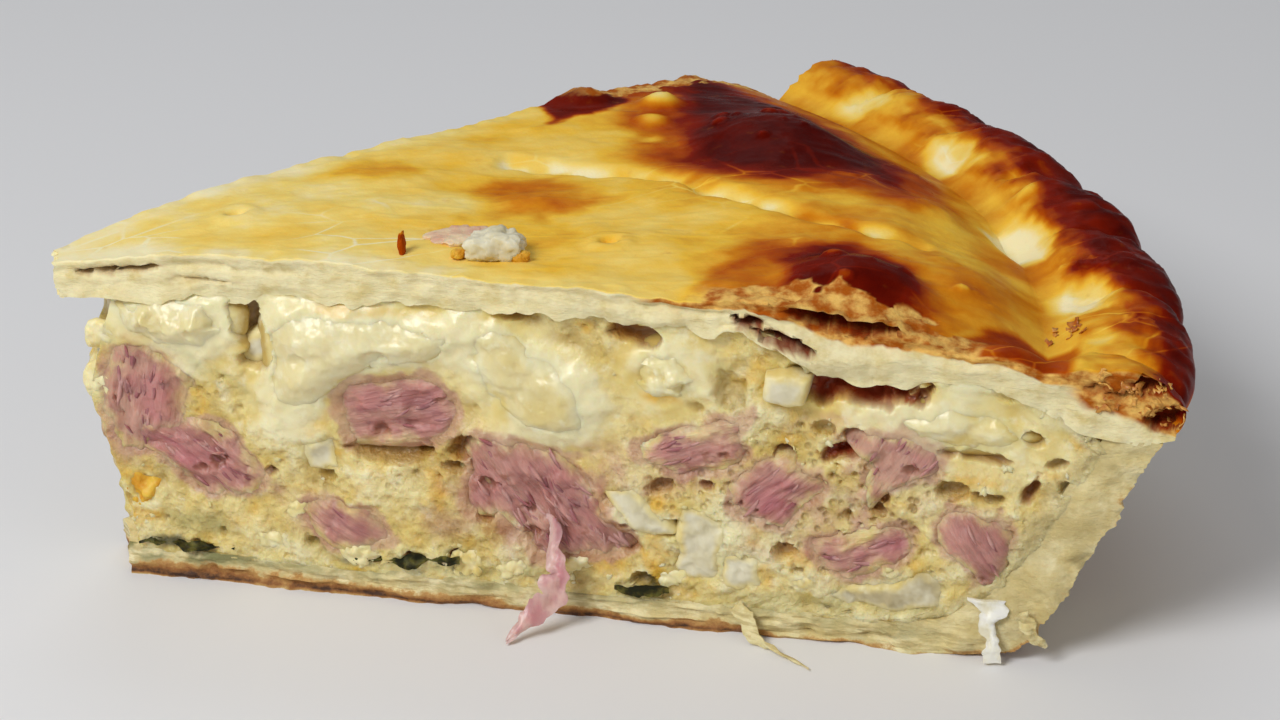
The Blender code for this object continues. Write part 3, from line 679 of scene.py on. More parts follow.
egg_white_pieces = (
    ("egg_white_near_1", NEAR, (
        (83.6, 33), (86, 33.5), (88.7, 32.9), (87.9, 29.6), (86.3, 29.2), (83.3, 30)
    ), 1.7),
    ("egg_white_near_2", NEAR, (
        (64.1, 16.8), (68.2, 17.2), (70.4, 15.5), (73.2, 11.9), (70.7, 11.2), (68.5, 11.8), (66.6, 14.3)
    ), 0.5),
    ("egg_white_near_3", NEAR, (
        (73.8, 15), (76.3, 15.4), (79.2, 13.2), (77.8, 6.2), (75.3, 5.8), (72.7, 6.7), (73.3, 9.5)
    ), 0.5),
    ("egg_white_near_4", NEAR, ((78.9, 9.9), (82.7, 9.8), (83, 6.4), (80.7, 5.4), (78.6, 5.9)), 0.5),
    ("egg_white_near_5", NEAR, ((28.9, 18.9), (32.3, 19.8), (32.9, 16.1), (29.4, 15.3)), 0.5),
    ("egg_white_near_6", NEAR, ((22.1, 31), (25, 32.8), (25.2, 29), (23.4, 28.1), (21.4, 28.3)), -1.4),
    ("egg_white_near_7", NEAR, (
        (90.2, 6), (94.5, 8), (98.7, 8.5), (101.4, 10.2), (103.6, 9.2), (104.4, 7.4), (103.5, 5.6),
        (98.8, 4.7), (93.1, 4.7)
    ), 0.3),
    ("egg_white_far_1", FAR, torn_outline(31, 13, 6.4, 6.8, 14, 11), 0.6),
    ("egg_white_far_2", FAR, torn_outline(66, 10.4, 5.8, 9, -24, 12), 0.5),
    ("egg_white_far_3", FAR, torn_outline(88, 28.4, 6.6, 5.6, 8, 13), 1.0),
    ("egg_white_far_4", FAR, torn_outline(99, 10.6, 8.6, 4.8, 30, 14), 0.5),
)
egg_yolk_pieces = (
    ("egg_yolk_near", NEAR, (
        (5.6, 13.2), (7.9, 13.4), (11.4, 12.8), (10.4, 10.7), (8.3, 8.9), (6.9, 9.7)
    ), 0.8),
    ("egg_yolk_far", FAR, torn_outline(61, 32.2, 7.2, 5.8, 0, 15), 0.7),
)
# for each cut: distance, height, length, height and depth of the hollow, tilt in degrees, how much red-brown
# painted shade it holds
hollows = {
    NEAR: (
        (23.5, 32.4, 4.2, 8.8, 4.2, 8, 0.2), (93.4, 32.0, 14.6, 4.8, 8.0, 4, 1.0),
        (39.6, 18.6, 11.0, 2.5, 3.4, 0, 0.2), (48.4, 20.2, 5.6, 2.6, 3.2, 25, 0.4),
        (46.8, 17.4, 2.8, 1.4, 1.8, 0, 0.1), (92.3, 23.9, 6.8, 2.4, 4.6, 12, 1.0),
        (68.4, 36.2, 7.6, 2.6, 4.0, -10, 0.5), (54.8, 37.2, 4.6, 1.6, 2.6, 0, 0.2),
        (107.4, 24.6, 8.2, 1.5, 3.4, -8, 0.3), (104.6, 26.6, 3.8, 0.9, 2.4, -14, 0.3),
        (113.4, 21.2, 1.6, 4.0, 2.6, -22, 0.6), (104.4, 20.4, 3.8, 2.4, 2.0, 10, 0.0),
        (108.6, 19.8, 4.2, 1.5, 2.0, -10, 0.1), (113.4, 27.2, 2.6, 1.6, 1.8, -20, 0.1),
        (116.2, 24.6, 2.6, 1.4, 1.6, 10, 0.1), (96.8, 19.0, 1.4, 2.6, 2.2, 14, 0.5),
        (96.2, 17.0, 2.0, 1.8, 2.0, 0, 0.4), (112.6, 9.8, 3.8, 2.6, 2.2, 24, 0.0),
        (79.2, 22.4, 2.2, 3.4, 1.8, 30, 0.5), (85.8, 22.6, 2.6, 2.2, 2.4, -40, 0.6),
        (71.4, 17.6, 2.8, 1.8, 1.6, 30, 0.2), (76.8, 18.2, 2.0, 1.4, 1.8, 0, 0.6),
        (50.4, 18.0, 2.4, 2.0, 2.4, -30, 0.6), (57.6, 18.6, 3.0, 1.8, 2.0, -20, 0.5),
        (50.8, 13.0, 2.6, 3.4, 2.4, 0, 0.6), (24.9, 14.9, 1.6, 1.2, 1.6, 0, 0.3),
        (17.4, 19.6, 3.6, 1.5, 1.8, -14, 0.5), (14.6, 25.4, 2.2, 2.2, 1.6, -30, 0.1),
        (79.0, 30.2, 4.4, 4.6, 1.5, 20, 0.0), (67.0, 9.8, 3.0, 2.0, 2.0, -30, 0.6),
        (37.0, 4.8, 1.6, 1.0, 2.0, 0, 0.4), (41.4, 5.6, 1.6, 1.5, 2.4, 0, 0.8),
        (46.8, 6.2, 1.4, 1.0, 2.0, 20, 0.8), (99.6, 31.0, 2.0, 1.0, 2.0, 10, 0.9),
        (72.8, 29.8, 2.6, 1.2, 1.4, 0, 0.3), (13.0, 31.4, 3.0, 1.4, 1.4, 20, 0.2),
    ),
    FAR: (
        (40, 20.5, 9.0, 2.6, 3.6, -6, 0.3), (74, 33.4, 10.0, 3.0, 4.4, 0, 0.8),
        (90, 20.4, 7.0, 2.4, 3.6, 8, 0.5), (24, 31.5, 5.0, 3.6, 2.8, 20, 0.2),
        (58, 18.6, 4.2, 2.2, 2.6, -20, 0.4), (108, 24.0, 6.0, 1.8, 2.6, -10, 0.3),
        (77, 20.2, 3.0, 1.8, 2.0, 12, 0.4), (42, 8.4, 4.0, 2.0, 2.0, 0, 0.3),
    ),
}


def leaned(x, y, along, up, tilt):
    """How far places on a cut are from one of them, along its tilt and square to it."""
    lean = math.radians(tilt)
    dx = (x - along) * math.cos(lean) + (y - up) * math.sin(lean)
    return dx, (y - up) * math.cos(lean) - (x - along) * math.sin(lean)


def hollow_depth(side, x, y, warp):
    """(depth in mm, painted shade, red-brown painted shade) of the hollows in a cut."""
    depth, dark, brown = (np.zeros(np.shape(x)) for _ in range(3))
    for along, up, length, height, deep, tilt, red_shade_share in hollows[side]:
        dx, dy = leaned(x, y, along, up, tilt)
        away = np.hypot(dx / (length / 2), dy / (height / 2)) + warp * 0.34
        shape = np.clip(1 - away**2, 0, 1) ** 0.8
        depth = np.maximum(depth, min(deep, 0.75 * min(length, height) + 0.5) * shape)
        dark = np.maximum(dark, np.minimum(shape * 1.5, 1) * min(1.0, 0.35 + deep / 5))
        brown = np.maximum(brown, np.minimum(shape * 1.8, 1) * red_shade_share)
    return depth, dark, brown


def torn_edge(x, y):
    """How far a piece's edge wanders in and out, in mm, where the custard clings to it."""
    return 0.55 * crumble(x / 1.9, y / 1.9, 3.0, 4, 96) + 0.35 * crumble(x / 5, y / 5, 7.0, 2, 97)


# Where the custard is stained by what lies in it: kind, cut, and for each stain its distance, height,
# half-length, half-height, tilt in degrees and amount.
stains = (
    ("pink", NEAR, (
        (66, 18.6, 5, 4, 0, 0.9), (70.5, 18.4, 4.5, 2.4, 0, 1.0), (94.4, 18.4, 3.6, 5.5, -8, 1.0),
        (88.5, 16, 6, 3.4, -10, 0.8), (9, 26.5, 6, 4.5, 0, 0.7), (7.5, 17.5, 4.5, 4, 0, 0.8),
        (12, 20, 6, 2.5, -20, 0.6), (25.6, 12.2, 4.5, 1.5, -16, 0.75), (29, 8.6, 3, 2.4, -30, 0.5),
        (52.5, 20, 6.5, 3.6, -10, 0.8), (47, 15.5, 3, 3, 0, 0.6), (64.5, 21.4, 5, 2, 4, 0.5),
        (76, 19, 6, 2.8, 0, 0.6), (84, 15.6, 5.5, 3, -20, 0.6), (92.6, 19.5, 1.6, 6.5, -12, 0.8),
        (98, 23.4, 6, 4, 0, 0.75), (90, 27.2, 6, 1.2, 14, 0.6), (86, 11.6, 6, 2.2, 8, 0.6),
        (93, 9.4, 5, 2.4, 10, 0.6), (104.6, 17.6, 5, 2.6, -20, 0.6), (109.6, 12, 2.4, 4, 0, 0.6),
        (46, 10.4, 5.5, 2.2, 4, 0.45), (67.4, 14.4, 3, 2, -40, 0.5), (57.5, 7.4, 7, 1.6, 0, 0.5),
    )),
    ("tan", NEAR, (
        (90, 18, 3, 2, 0, 0.4), (49.6, 13.6, 1.6, 2.6, 0, 0.9), (46.4, 11, 4.6, 2.4, 0, 0.45),
        (52, 9.4, 2.2, 1.7, 0, 0.7), (66.2, 11.6, 2.8, 1.5, -45, 0.9), (61.6, 8.2, 2.4, 1.3, 0, 0.8),
        (107.4, 9.2, 1.7, 1.3, 0, 0.8), (92.4, 17.2, 0.9, 2.2, -10, 0.5), (104, 15.4, 1.4, 1.6, 0, 0.4),
    )),
    ("yolky", NEAR, (
        (72.6, 31.6, 3.4, 2.0, 0, 1.0), (71.6, 28.8, 2.8, 1.1, 0, 1.0), (14.4, 32, 5, 1.6, 14, 0.9),
        (28.4, 12.6, 2.2, 1.0, -10, 0.7), (108.2, 7.6, 2.6, 1.5, 0, 0.8), (65.6, 6.8, 3.4, 1.6, 0, 0.6),
        (86.4, 24.8, 1.7, 0.9, 0, 0.9), (33.4, 7.2, 1.8, 0.9, 0, 0.7), (36, 36.4, 6, 0.8, 0, 0.6),
        (94, 31, 7, 1.2, 4, 0.7),
    )),
    ("olive", NEAR, (
        (79, 30.2, 2.2, 3.2, 24, 0.9), (19, 26.8, 6.5, 1.2, -34, 0.5), (15.5, 7.4, 7, 1.9, -4, 0.8),
        (30, 6.2, 4.5, 1.6, 0, 0.6), (57, 5.0, 8, 1.3, 0, 0.8), (46, 4.6, 6, 1.0, 0, 0.8),
        (88, 4.8, 14, 1.1, 0, 0.5), (99, 7.4, 7, 2.6, -14, 0.5),
    )),
    ("leafy", NEAR, (
        (12, 4.6, 5.5, 1.0, 0, 0.9), (25.4, 4.4, 1.4, 0.9, 0, 0.9), (41, 5.4, 2.2, 1.4, 30, 1.0),
        (46.8, 6.2, 1.1, 0.8, 0, 1.0), (44, 4.4, 6, 0.9, 0, 0.7), (69.4, 4.8, 1.8, 0.8, 0, 0.9),
        (34.8, 4.4, 3, 0.8, 0, 0.7),
    )),
    ("pink", FAR, (
        (18, 21, 8, 6, 0, 0.6), (50, 13, 10, 6, 10, 0.6), (68, 22, 9, 5, 0, 0.6), (84, 13, 9, 5, 0, 0.6),
        (98, 18, 7, 5, 0, 0.6),
    )),
    ("tan", FAR, (
        (44, 15, 2, 2.4, 0, 0.8), (73, 25, 1.6, 1.4, 0, 0.7),
    )),
    ("yolky", FAR, (
        (63, 30.5, 4, 1.4, 0, 0.8), (36, 33, 3, 1.4, 0, 0.8), (92, 31, 5, 1.4, 0, 0.7),
    )),
    ("olive", FAR, (
        (40, 5, 12, 1.5, 0, 0.7), (80, 5, 9, 1.3, 0, 0.6),
    )),
    ("leafy", FAR, (
        (28, 4.6, 5, 1.0, 0, 0.9), (76, 4.7, 6, 0.9, 0, 0.9),
    )),
)


def custard_face(side, x, y):
    """How far the custard's cut stands out in mm, and its marks."""
    out, smooth, warp = cut_relief(side, x, y)
    spongy = np.exp(-(((x - 93) / 9) ** 2) - ((y - 18) / 7) ** 2)
    spongy = spongy + 0.5 * np.exp(-(((x - 76) / 9) ** 2) - ((y - 17) / 6) ** 2)
    out = out + 0.10 * crumble(x / 0.9, y / 0.9, side * 2.0, 3, 56) * (1 - 0.8 * smooth)
    out = out - 1.3 * bubbles(x + warp * 0.3, y, 3.4, 57 + side, 0.22) * (1 - 0.75 * smooth)
    froth = 1.1 * bubbles(x, y + warp * 0.2, 1.2, 67 + side, 0.12 + 0.5 * spongy)
    out = out - froth * (1 - 0.6 * smooth) * (0.6 + spongy)
    deep, dark, brown = hollow_depth(side, x, y, warp)
    marks = {kind: np.zeros(np.shape(x)) for kind in ("pink", "tan", "yolky", "olive", "leafy", "ham")}
    for kind, cut, spots in stains:
        for along, up, length, height, tilt, amount in spots if cut == side else ():
            dx, dy = leaned(x, y, along, up, tilt)
            away = np.hypot(dx / length, dy / height) + 0.22 * warp
            marks[kind] = np.maximum(marks[kind], amount * (1 - step_up(0.35, 1.25, away)))
    for _, cut, outline, _, _, pale, _ in ham_pieces:
        if cut == side:
            reach = outline_reach(x, y, outline) + torn_edge(x, y)
            juice = np.exp(-((np.minimum(reach, 0) / 1.1) ** 2)) * (1.0 - 0.3 * pale)
            marks["ham"] = np.maximum(marks["ham"], juice)
            out = out - 0.35 * step_up(-0.6, 0.9, reach) - 0.9 * step_up(0.6, 2.0, reach)
    for group in (egg_white_pieces, egg_yolk_pieces):
        for _, cut, outline, _ in group:
            if cut == side:
                reach = outline_reach(x, y, outline) + 0.5 * torn_edge(x, y)
                out = out - 0.25 * step_up(-0.5, 0.6, reach) - 0.8 * step_up(0.4, 1.4, reach)
    for _, cut, outline, _ in cheese_pieces:
        if cut == side:
            reach = outline_reach(x, y, outline) + torn_edge(x, y)
            out = out - 0.3 * step_up(-1.0, 1.2, reach) - 0.8 * step_up(0.8, 2.6, reach)
    # How far the cut stands out, which sets its painted shade and painted highlight.
    marks["relief"] = np.clip((out + 1.5) / 2.0, 0, 1)
    yolky_crumbs = np.clip(crumble(x / 3.2, y / 2.6, side * 4.0, 3, 71) * 1.2 - 0.42, 0, 1) * (1 - smooth)
    marks["yolky"] = np.maximum(marks["yolky"], yolky_crumbs)
    torn = step_up(0.0, 0.7, crumble(x / 4, y / 3.4, side * 8.0, 3, 58))
    marks["loose"] = (1 - marks["ham"]) * (1 - 0.75 * smooth) * (1 - dark) * torn
    # The hollows' painted shade and their red-brown painted shade.
    marks.update(hollow=dark, brown=brown, smooth=smooth, spongy=np.minimum(0.3 + spongy, 1) * (1 - smooth))
    return out - deep, marks


def cream(start):
    """The custard's own colour, which also lies as a film over what it holds."""
    clouds = start.noise(start.place(), 170, 3)
    mottle = start.noise(start.place(), 460, 4, 0.55)
    colour = start.blend(shade(234, 218, 156), shade(220, 194, 110), clouds.between(0.36, 0.66))
    return colour.towards(shade(242, 236, 204), mottle.between(0.5, 0.76) * 0.6)


def relief_shade_and_highlight(start, colour):
    """The same colour with painted shade in the seams and a painted highlight where it stands out of the
    cut.
    """
    colour = colour.towards(shade(184, 150, 66), start.mark("relief").between(0.12, 0.60, 0.8, 0.0))
    return colour.towards(shade(238, 232, 194), start.mark("relief").between(0.62, 0.95) * 0.6)


def flesh(start):
    """Custard that took colour from the ham."""
    tint = start.noise(start.place(), 330, 4, 0.6)
    return start.blend(shade(206, 164, 134), shade(176, 122, 106), tint.between(0.36, 0.66))


def custard_colour(start):
    mottle = start.noise(start.place(), 210, 5, 0.6)
    patchy = start.noise(start.place(), 300, 4, 0.6)
    colour = cream(start).towards(
        shade(206, 178, 98), mottle.between(0.46, 0.74) * (1 - start.mark("smooth")) * 0.8
    )
    # Painted shade in the seams and a painted highlight where the custard stands out.
    colour = relief_shade_and_highlight(start, colour)
    colour = colour.towards(shade(224, 172, 40), (start.mark("yolky") * patchy.between(0.25, 0.6)) * 0.85)
    colour = colour.towards(shade(170, 162, 104), start.mark("olive") * patchy.between(0.3, 0.6) * 0.8)
    colour = colour.towards(
        flesh(start), (start.mark("pink") * (0.2 + patchy.between(0.36, 0.66) * 0.8)).kept() * 0.85
    )
    colour = colour.towards(
        flesh(start), (start.mark("ham") * 1.4 + patchy * 1.2 - 0.95).between(0.1, 1.0) * 0.75
    )
    colour = colour.towards(shade(150, 88, 30), start.mark("tan") * patchy.between(0.34, 0.56) * 0.85)
    colour = colour.towards(shade(44, 50, 26), start.mark("leafy") * mottle.between(0.40, 0.56) * 0.95)
    # Beside the wall the custard turns to the wall's dough, painted shade and all.
    colour = colour.towards(shaded_wall_dough(start), (start.mark("dough") * 1.6 + patchy - 0.7).between(0.0, 0.9))
    # Painted shade in the pores of the spongy custard, where its bumps sink.
    pore_shade = start.cells(start.place(), 760).between(0.16, 0.34, 1.0, 0.0) * start.mark("spongy")
    colour = colour.towards(shade(150, 112, 52), pore_shade * patchy.between(0.4, 0.6) * 0.7)
    # Painted shade in the hollows, darker the deeper a hollow is, and red-brown painted shade as much as
    # each hollow is given.
    colour = colour.towards(shade(166, 124, 40), start.mark("hollow") * 0.7)
    return colour.towards(shade(142, 42, 14), start.mark("brown") * 0.96)


def custard_bumps(start):
    grain = start.noise(start.place(), 1100, 4)
    pits = start.cells(start.place(), 760).between(0.1, 0.4)
    rough = grain * (1 - start.mark("smooth") * 0.8) + pits * start.mark("spongy")
    return start.bump(rough, 0.75, 0.0007)


def custard_gloss(start):
    return start.noise(start.place(), 600).between(0.3, 0.7, 0.24, 0.46)


custard_finish = food_finish(
    "set_custard", custard_colour, custard_gloss, custard_bumps, 0.4, (0.0024, 0.0015, 0.0007), 0.2
)


def top_underside(radius, angle):
    """Height of the top crust's underside at a radius and an angle in degrees."""
    profile = (
        (0, 35.2), (26, 37.3), (60, 37.8), (85, 37.4), (100, 35.8), (108, 33.4), (114, 30.9), (119, 28.7),
        (126, 27.9), (130, 28.9)
    )
    height = np.interp(radius, *zip(*profile))
    from_near = np.radians(angle + HALF_DEGREES)
    away = np.hypot(radius * np.cos(from_near) - 94, radius * np.sin(from_near)) / 13
    return height - 3.6 * np.maximum(0, 1 - away**2) ** 2


# Where the custard ends at the wall and at the tip: height and distance from the centre in mm.
outer_edge = np.array(
    ((3.0, 100.6), (5.0, 107.0), (8.4, 111.2), (14, 115.3), (23, 119.8), (28, 122.4), (30.6, 118.6))
)
tip_edge = np.array(((3, 7.4), (11, 6.3), (19, 4.4), (24, 3.0), (29, 4.4), (35, 6.4), (37, 7.0)))
FILLING_FOOT = 3.0
DEEPEST = 2.2
PLAIN_RELIEF = 0.55
shares, quads = block_skin(372, 6, 120)
along, across, rise = shares[:, 0], shares[:, 1] * 2 - 1, shares[:, 2]
angle = across * HALF_DEGREES
tip_bumps = crumble(rise * 9, across * 2, 0, 3, 81) * 0.6
tip = np.interp(3.4 + 33 * rise, *tip_edge.T) + tip_bumps * (1 - step_up(0.86, 1, rise))
outer = np.interp(FILLING_FOOT + 27.6 * rise, *outer_edge.T)
radius = tip + (outer - tip) * along
to_wall = (1 - along) * (outer - tip)
height = FILLING_FOOT + (top_underside(radius, angle) + 0.4 - FILLING_FOOT) * rise
out = np.full(len(radius), -0.1)
# The relief mark sets painted shade and highlight; the uncut faces keep a plain middle value.
marks = {"relief": np.full(len(radius), PLAIN_RELIEF)}
for side in (NEAR, FAR):
    here = across * side > ON_A_CUT
    relief, found = custard_face(side, radius[here], height[here])
    found["dough"] = step_up(6.0, 0.3, to_wall[here])
    inwards = np.clip(np.minimum(np.minimum(rise[here], 1 - rise[here]) * 30, along[here] * 40), 0, 1)
    relief = relief - 0.3 * step_up(1.6, 0.0, to_wall[here])
    out[here] = (
        np.maximum(relief, -DEEPEST) * inwards + np.minimum(relief + DEEPEST, 0) * inwards
        - 0.25 * (1 - inwards)
    )
    for mark, values in found.items():
        marks.setdefault(mark, np.zeros(len(radius)))[here] = values
custard = food_piece(
    "custard_detail", wedge_points(radius, across, height, out), quads, custard_finish, marks
)
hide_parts("custard")


def scattered(name, ground, template, finish, density, smallest, largest, tilt, seed, lie=False):
    """Copies of a small template strewn over a ground mesh, most where it is loose, as one mesh."""
    tree = bpy.data.node_groups.new(name + "_tree", "GeometryNodeTree")
    inputs = (
        ("Ground", "Geometry", None), ("Template", "Object", template), ("Per square mm", "Float", density),
        ("Smallest", "Float", smallest), ("Largest", "Float", largest), ("Tilt", "Float", tilt),
        ("Seed", "Int", seed), ("Finish", "Material", finish),
    )
    sockets = {
        label: tree.interface.new_socket(label, in_out="INPUT", socket_type="NodeSocket" + kind)
        for label, kind, _ in inputs
    }
    tree.interface.new_socket("Strewn", in_out="OUTPUT", socket_type="NodeSocketGeometry")
    entry = tree.nodes.new("NodeGroupInput")
    given = {label: Signal(tree, entry.outputs[label]) for label, _, _ in inputs}
    start = Signal(tree)
    loose = start.node("GeometryNodeInputNamedAttribute", {"data_type": "FLOAT"}, {"Name": "loose"})
    points = start.node(
        "GeometryNodeDistributePointsOnFaces", {"distribute_method": "RANDOM"},
        {"Mesh": given["Ground"], "Density": loose * given["Per square mm"] * 1e6, "Seed": given["Seed"]},
    )
    turned = Signal(tree, points.socket.node.outputs["Rotation"])
    if lie:
        along_grain = start.node(
            "GeometryNodeInputNamedAttribute", {"data_type": "FLOAT_VECTOR"}, {"Name": "lie"}
        )
        turned = start.node(
            "FunctionNodeAlignRotationToVector", {"axis": "X", "pivot_axis": "Z"},
            {"Rotation": turned, "Vector": along_grain}
        )
    spin = 0.35 if lie else math.pi
    lean = start.node("ShaderNodeCombineXYZ", {}, {"X": given["Tilt"], "Y": given["Tilt"], "Z": spin})
    low = start.node("ShaderNodeVectorMath", {"operation": "SCALE"}, {0: lean, "Scale": -1.0})
    chance = start.node(
        "FunctionNodeRandomValue", {"data_type": "FLOAT_VECTOR"}, {0: low, 1: lean, "Seed": given["Seed"]}
    )
    turned = start.node(
        "FunctionNodeRotateRotation", {"rotation_space": "LOCAL"},
        {"Rotation": turned, "Rotate By": start.node("FunctionNodeEulerToRotation", {}, {0: chance})},
    )
    sizes = start.node(
        "FunctionNodeRandomValue", {"data_type": "FLOAT"},
        {2: given["Smallest"], 3: given["Largest"], "Seed": given["Seed"] + 7}, output=1
    )
    shape = start.node("GeometryNodeObjectInfo", {}, {"Object": given["Template"]}, output=4)
    strewn = start.node("GeometryNodeInstanceOnPoints", {}, {
        "Points": points, "Instance": shape, "Rotation": turned, "Scale": sizes
    })
    real = start.node("GeometryNodeRealizeInstances", {}, {"Geometry": strewn})
    coated = start.node("GeometryNodeSetMaterial", {}, {"Geometry": real, "Material": given["Finish"]})
    leave = tree.nodes.new("NodeGroupOutput")
    tree.links.new(coated.socket, leave.inputs["Strewn"])
    carrier = bpy.data.objects.new(name + "_ground", ground)
    bpy.context.scene.collection.objects.link(carrier)
    modifier = carrier.modifiers.new("strew", "NODES")
    modifier.node_group = tree
    for label, kind, value in inputs[1:]:
        modifier[sockets[label].identifier] = value
    bpy.context.view_layer.update()
    mesh = bpy.data.meshes.new_from_object(carrier.evaluated_get(bpy.context.evaluated_depsgraph_get()))
    bpy.data.objects.remove(carrier)
    mesh.name = name
    mesh.shade_smooth()
    piece = bpy.data.objects.new(name, mesh)
    bpy.context.scene.collection.objects.link(piece)
    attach(piece, "root")
    return piece


def template_of(name, shares_quads, shape):
    """A small mesh to strew, one mm across, from a block's cells and a function that shapes them."""
    shares, quads = shares_quads
    mesh = bpy.data.meshes.new(name)
    mesh.from_pydata((shape(shares * 2 - 1) * MM).tolist(), [], quads.tolist())
    made = bpy.data.objects.new(name, mesh)
    bpy.context.scene.collection.objects.link(made)
    return made


def faces_of(piece, wanted):
    """A copy of the part of a piece's mesh whose points all carry the wanted mark."""
    source = piece.data
    keep = np.zeros(len(source.vertices), np.float32)
    source.attributes[wanted].data.foreach_get("value", keep)
    flat = np.zeros(len(source.vertices) * 3, np.float32)
    source.vertices.foreach_get("co", flat)
    corners = np.zeros(len(source.loops), np.int32)
    source.loops.foreach_get("vertex_index", corners)
    starts = np.zeros(len(source.polygons), np.int32)
    source.polygons.foreach_get("loop_start", starts)
    faces = [face.tolist() for face in np.split(corners, starts[1:]) if keep[face].min() > 0.02]
    used = np.unique(np.concatenate([np.asarray(face) for face in faces]))
    renumber = np.zeros(len(keep), np.int64)
    renumber[used] = np.arange(len(used))
    mesh = bpy.data.meshes.new(piece.name + "_part")
    mesh.from_pydata(flat.reshape(-1, 3)[used].tolist(), [], [renumber[face].tolist() for face in faces])
    mesh.attributes.new("loose", "FLOAT", "POINT").data.foreach_set("value", keep[used])
    return mesh


def cut_points(side, along, up, out):
    """Points in metres on a cut, from mm along it, above the table and out of it."""
    return wedge_points(along, np.full(np.shape(along), float(side)), up, out)


def outline_radius(outline, centre, turns):
    """How far the outline is from its centre in each direction, rounded a little."""
    ring = np.linspace(-math.pi, math.pi, 241)
    reach = np.zeros(len(ring))
    for (ax, ay), (bx, by) in zip(outline, outline[1:] + outline[:1]):
        ax, ay, bx, by = ax - centre[0], ay - centre[1], bx - centre[0], by - centre[1]
        cross = ax * by - ay * bx
        towards = np.cos(ring) * (by - ay) - np.sin(ring) * (bx - ax)
        safe = np.where(np.abs(towards) < 1e-9, 1e-9, towards)
        far = cross / safe
        share = (far * np.cos(ring) - ax) * (bx - ax) + (far * np.sin(ring) - ay) * (by - ay)
        share = share / ((bx - ax) ** 2 + (by - ay) ** 2)
        reach = np.where((far > 0) & (share >= -1e-6) & (share <= 1 + 1e-6), np.maximum(reach, far), reach)
    soft = np.convolve(
        np.concatenate([reach[-5:-1], reach, reach[1:5]]), np.hanning(9) / np.hanning(9).sum(), "valid"
    )
    return np.interp(turns, ring, soft)


def lump(outline, cell=0.26, squareness=3.2, grow=1.1):
    """A rounded body a little larger than an outline: its points' distances, heights and depths, which run
    from -1 at the front to 1 at the back, and its quads."""
    corners = np.array(outline)
    centre = (corners.max(0) + corners.min(0)) / 2
    size = corners.max(0) - corners.min(0) + 2 * grow
    steps = [max(6, int(round(extent / cell))) for extent in (size[0], 8 * cell, size[1])]
    shares, quads = block_skin(*steps)
    cube = shares * 2 - 1
    ball = cube / (np.abs(cube) ** squareness).sum(1, keepdims=True) ** (1 / squareness)
    flat = (np.abs(ball[:, 0]) ** squareness + np.abs(ball[:, 2]) ** squareness) ** (1 / squareness)
    turns = np.arctan2(ball[:, 2] * size[1], ball[:, 0] * size[0])
    reach = (outline_radius(outline, centre, turns) + grow) * flat
    return centre[0] + reach * np.cos(turns), centre[1] + reach * np.sin(turns), ball[:, 1], quads


def crumb_shape(cube):
    ball = cube / np.maximum(np.linalg.norm(cube, axis=1, keepdims=True), 1e-6)
    uneven = 1 + 0.75 * softness(*(ball.T * 2.3 + 5), 59)
    return ball * uneven[:, None] * np.array((0.5, 0.4, 0.16)) - np.array((0, 0, 0.05))


curd_crumb = template_of("curd_crumb", block_skin(3, 3, 2), crumb_shape)


def curd_colour(start):
    return cream(start).towards(
        shade(242, 234, 196), start.noise(start.place(), 300, 3).between(0.35, 0.6) * 0.35
    )


curd_finish = food_finish("loose_curd", curd_colour, 0.4, None, 0.3, (0.002, 0.0013, 0.0006))
curds_strewn = scattered(
    "custard_curds", faces_of(custard, "loose"), curd_crumb, curd_finish, 0.16, 0.3, 1.0, 0.3, 3
)
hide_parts("custard")

# distance, height, length, height of the lump and how far it stands out, in mm
loose_curds = (
    (35.0, 5.4, 5.0, 3.2, 0.7), (48.4, 5.2, 3.8, 3.8, 0.8), (53.4, 5.4, 4.4, 2.6, 0.6),
    (24.2, 6.0, 4.6, 2.6, 0.5), (61.0, 6.4, 5.2, 2.2, 0.5), (4.3, 24.4, 4.6, 5.0, 0.4),
    (4.6, 30.4, 4.2, 4.0, 0.4), (72.4, 5.6, 4.0, 1.8, 0.5), (27.6, 10.2, 3.0, 2.0, 0.4),
    (88.2, 7.2, 4.2, 1.8, 0.5),
)
for number, (along, up, length, tall, proud) in enumerate(loose_curds):
    outline = torn_outline(along, up, length, tall, 15 * (number % 3), 40 + number)
    x, y, share, quads = lump(outline, 0.22, 2.2, 0.2)
    front = (1 - share) / 2
    knobs = proud * (0.2 + 0.6 * curds(x + 0.3 * y, y, 1.5, 121 + number))
    out = front * (cut_relief(NEAR, x, y)[0] + knobs) - 2.0 * (1 - front)
    piece = food_piece("loose_curd_" + str(number + 1), cut_points(NEAR, x, y, out), quads, curd_finish)
    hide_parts("custard")

# HAM
# Cooked ham cut in rough dice, its fibres pulled by the knife. Each piece is held by the custard that set
# round it, and stands a little out of the cut. Its lean is pink, its sinew paler.


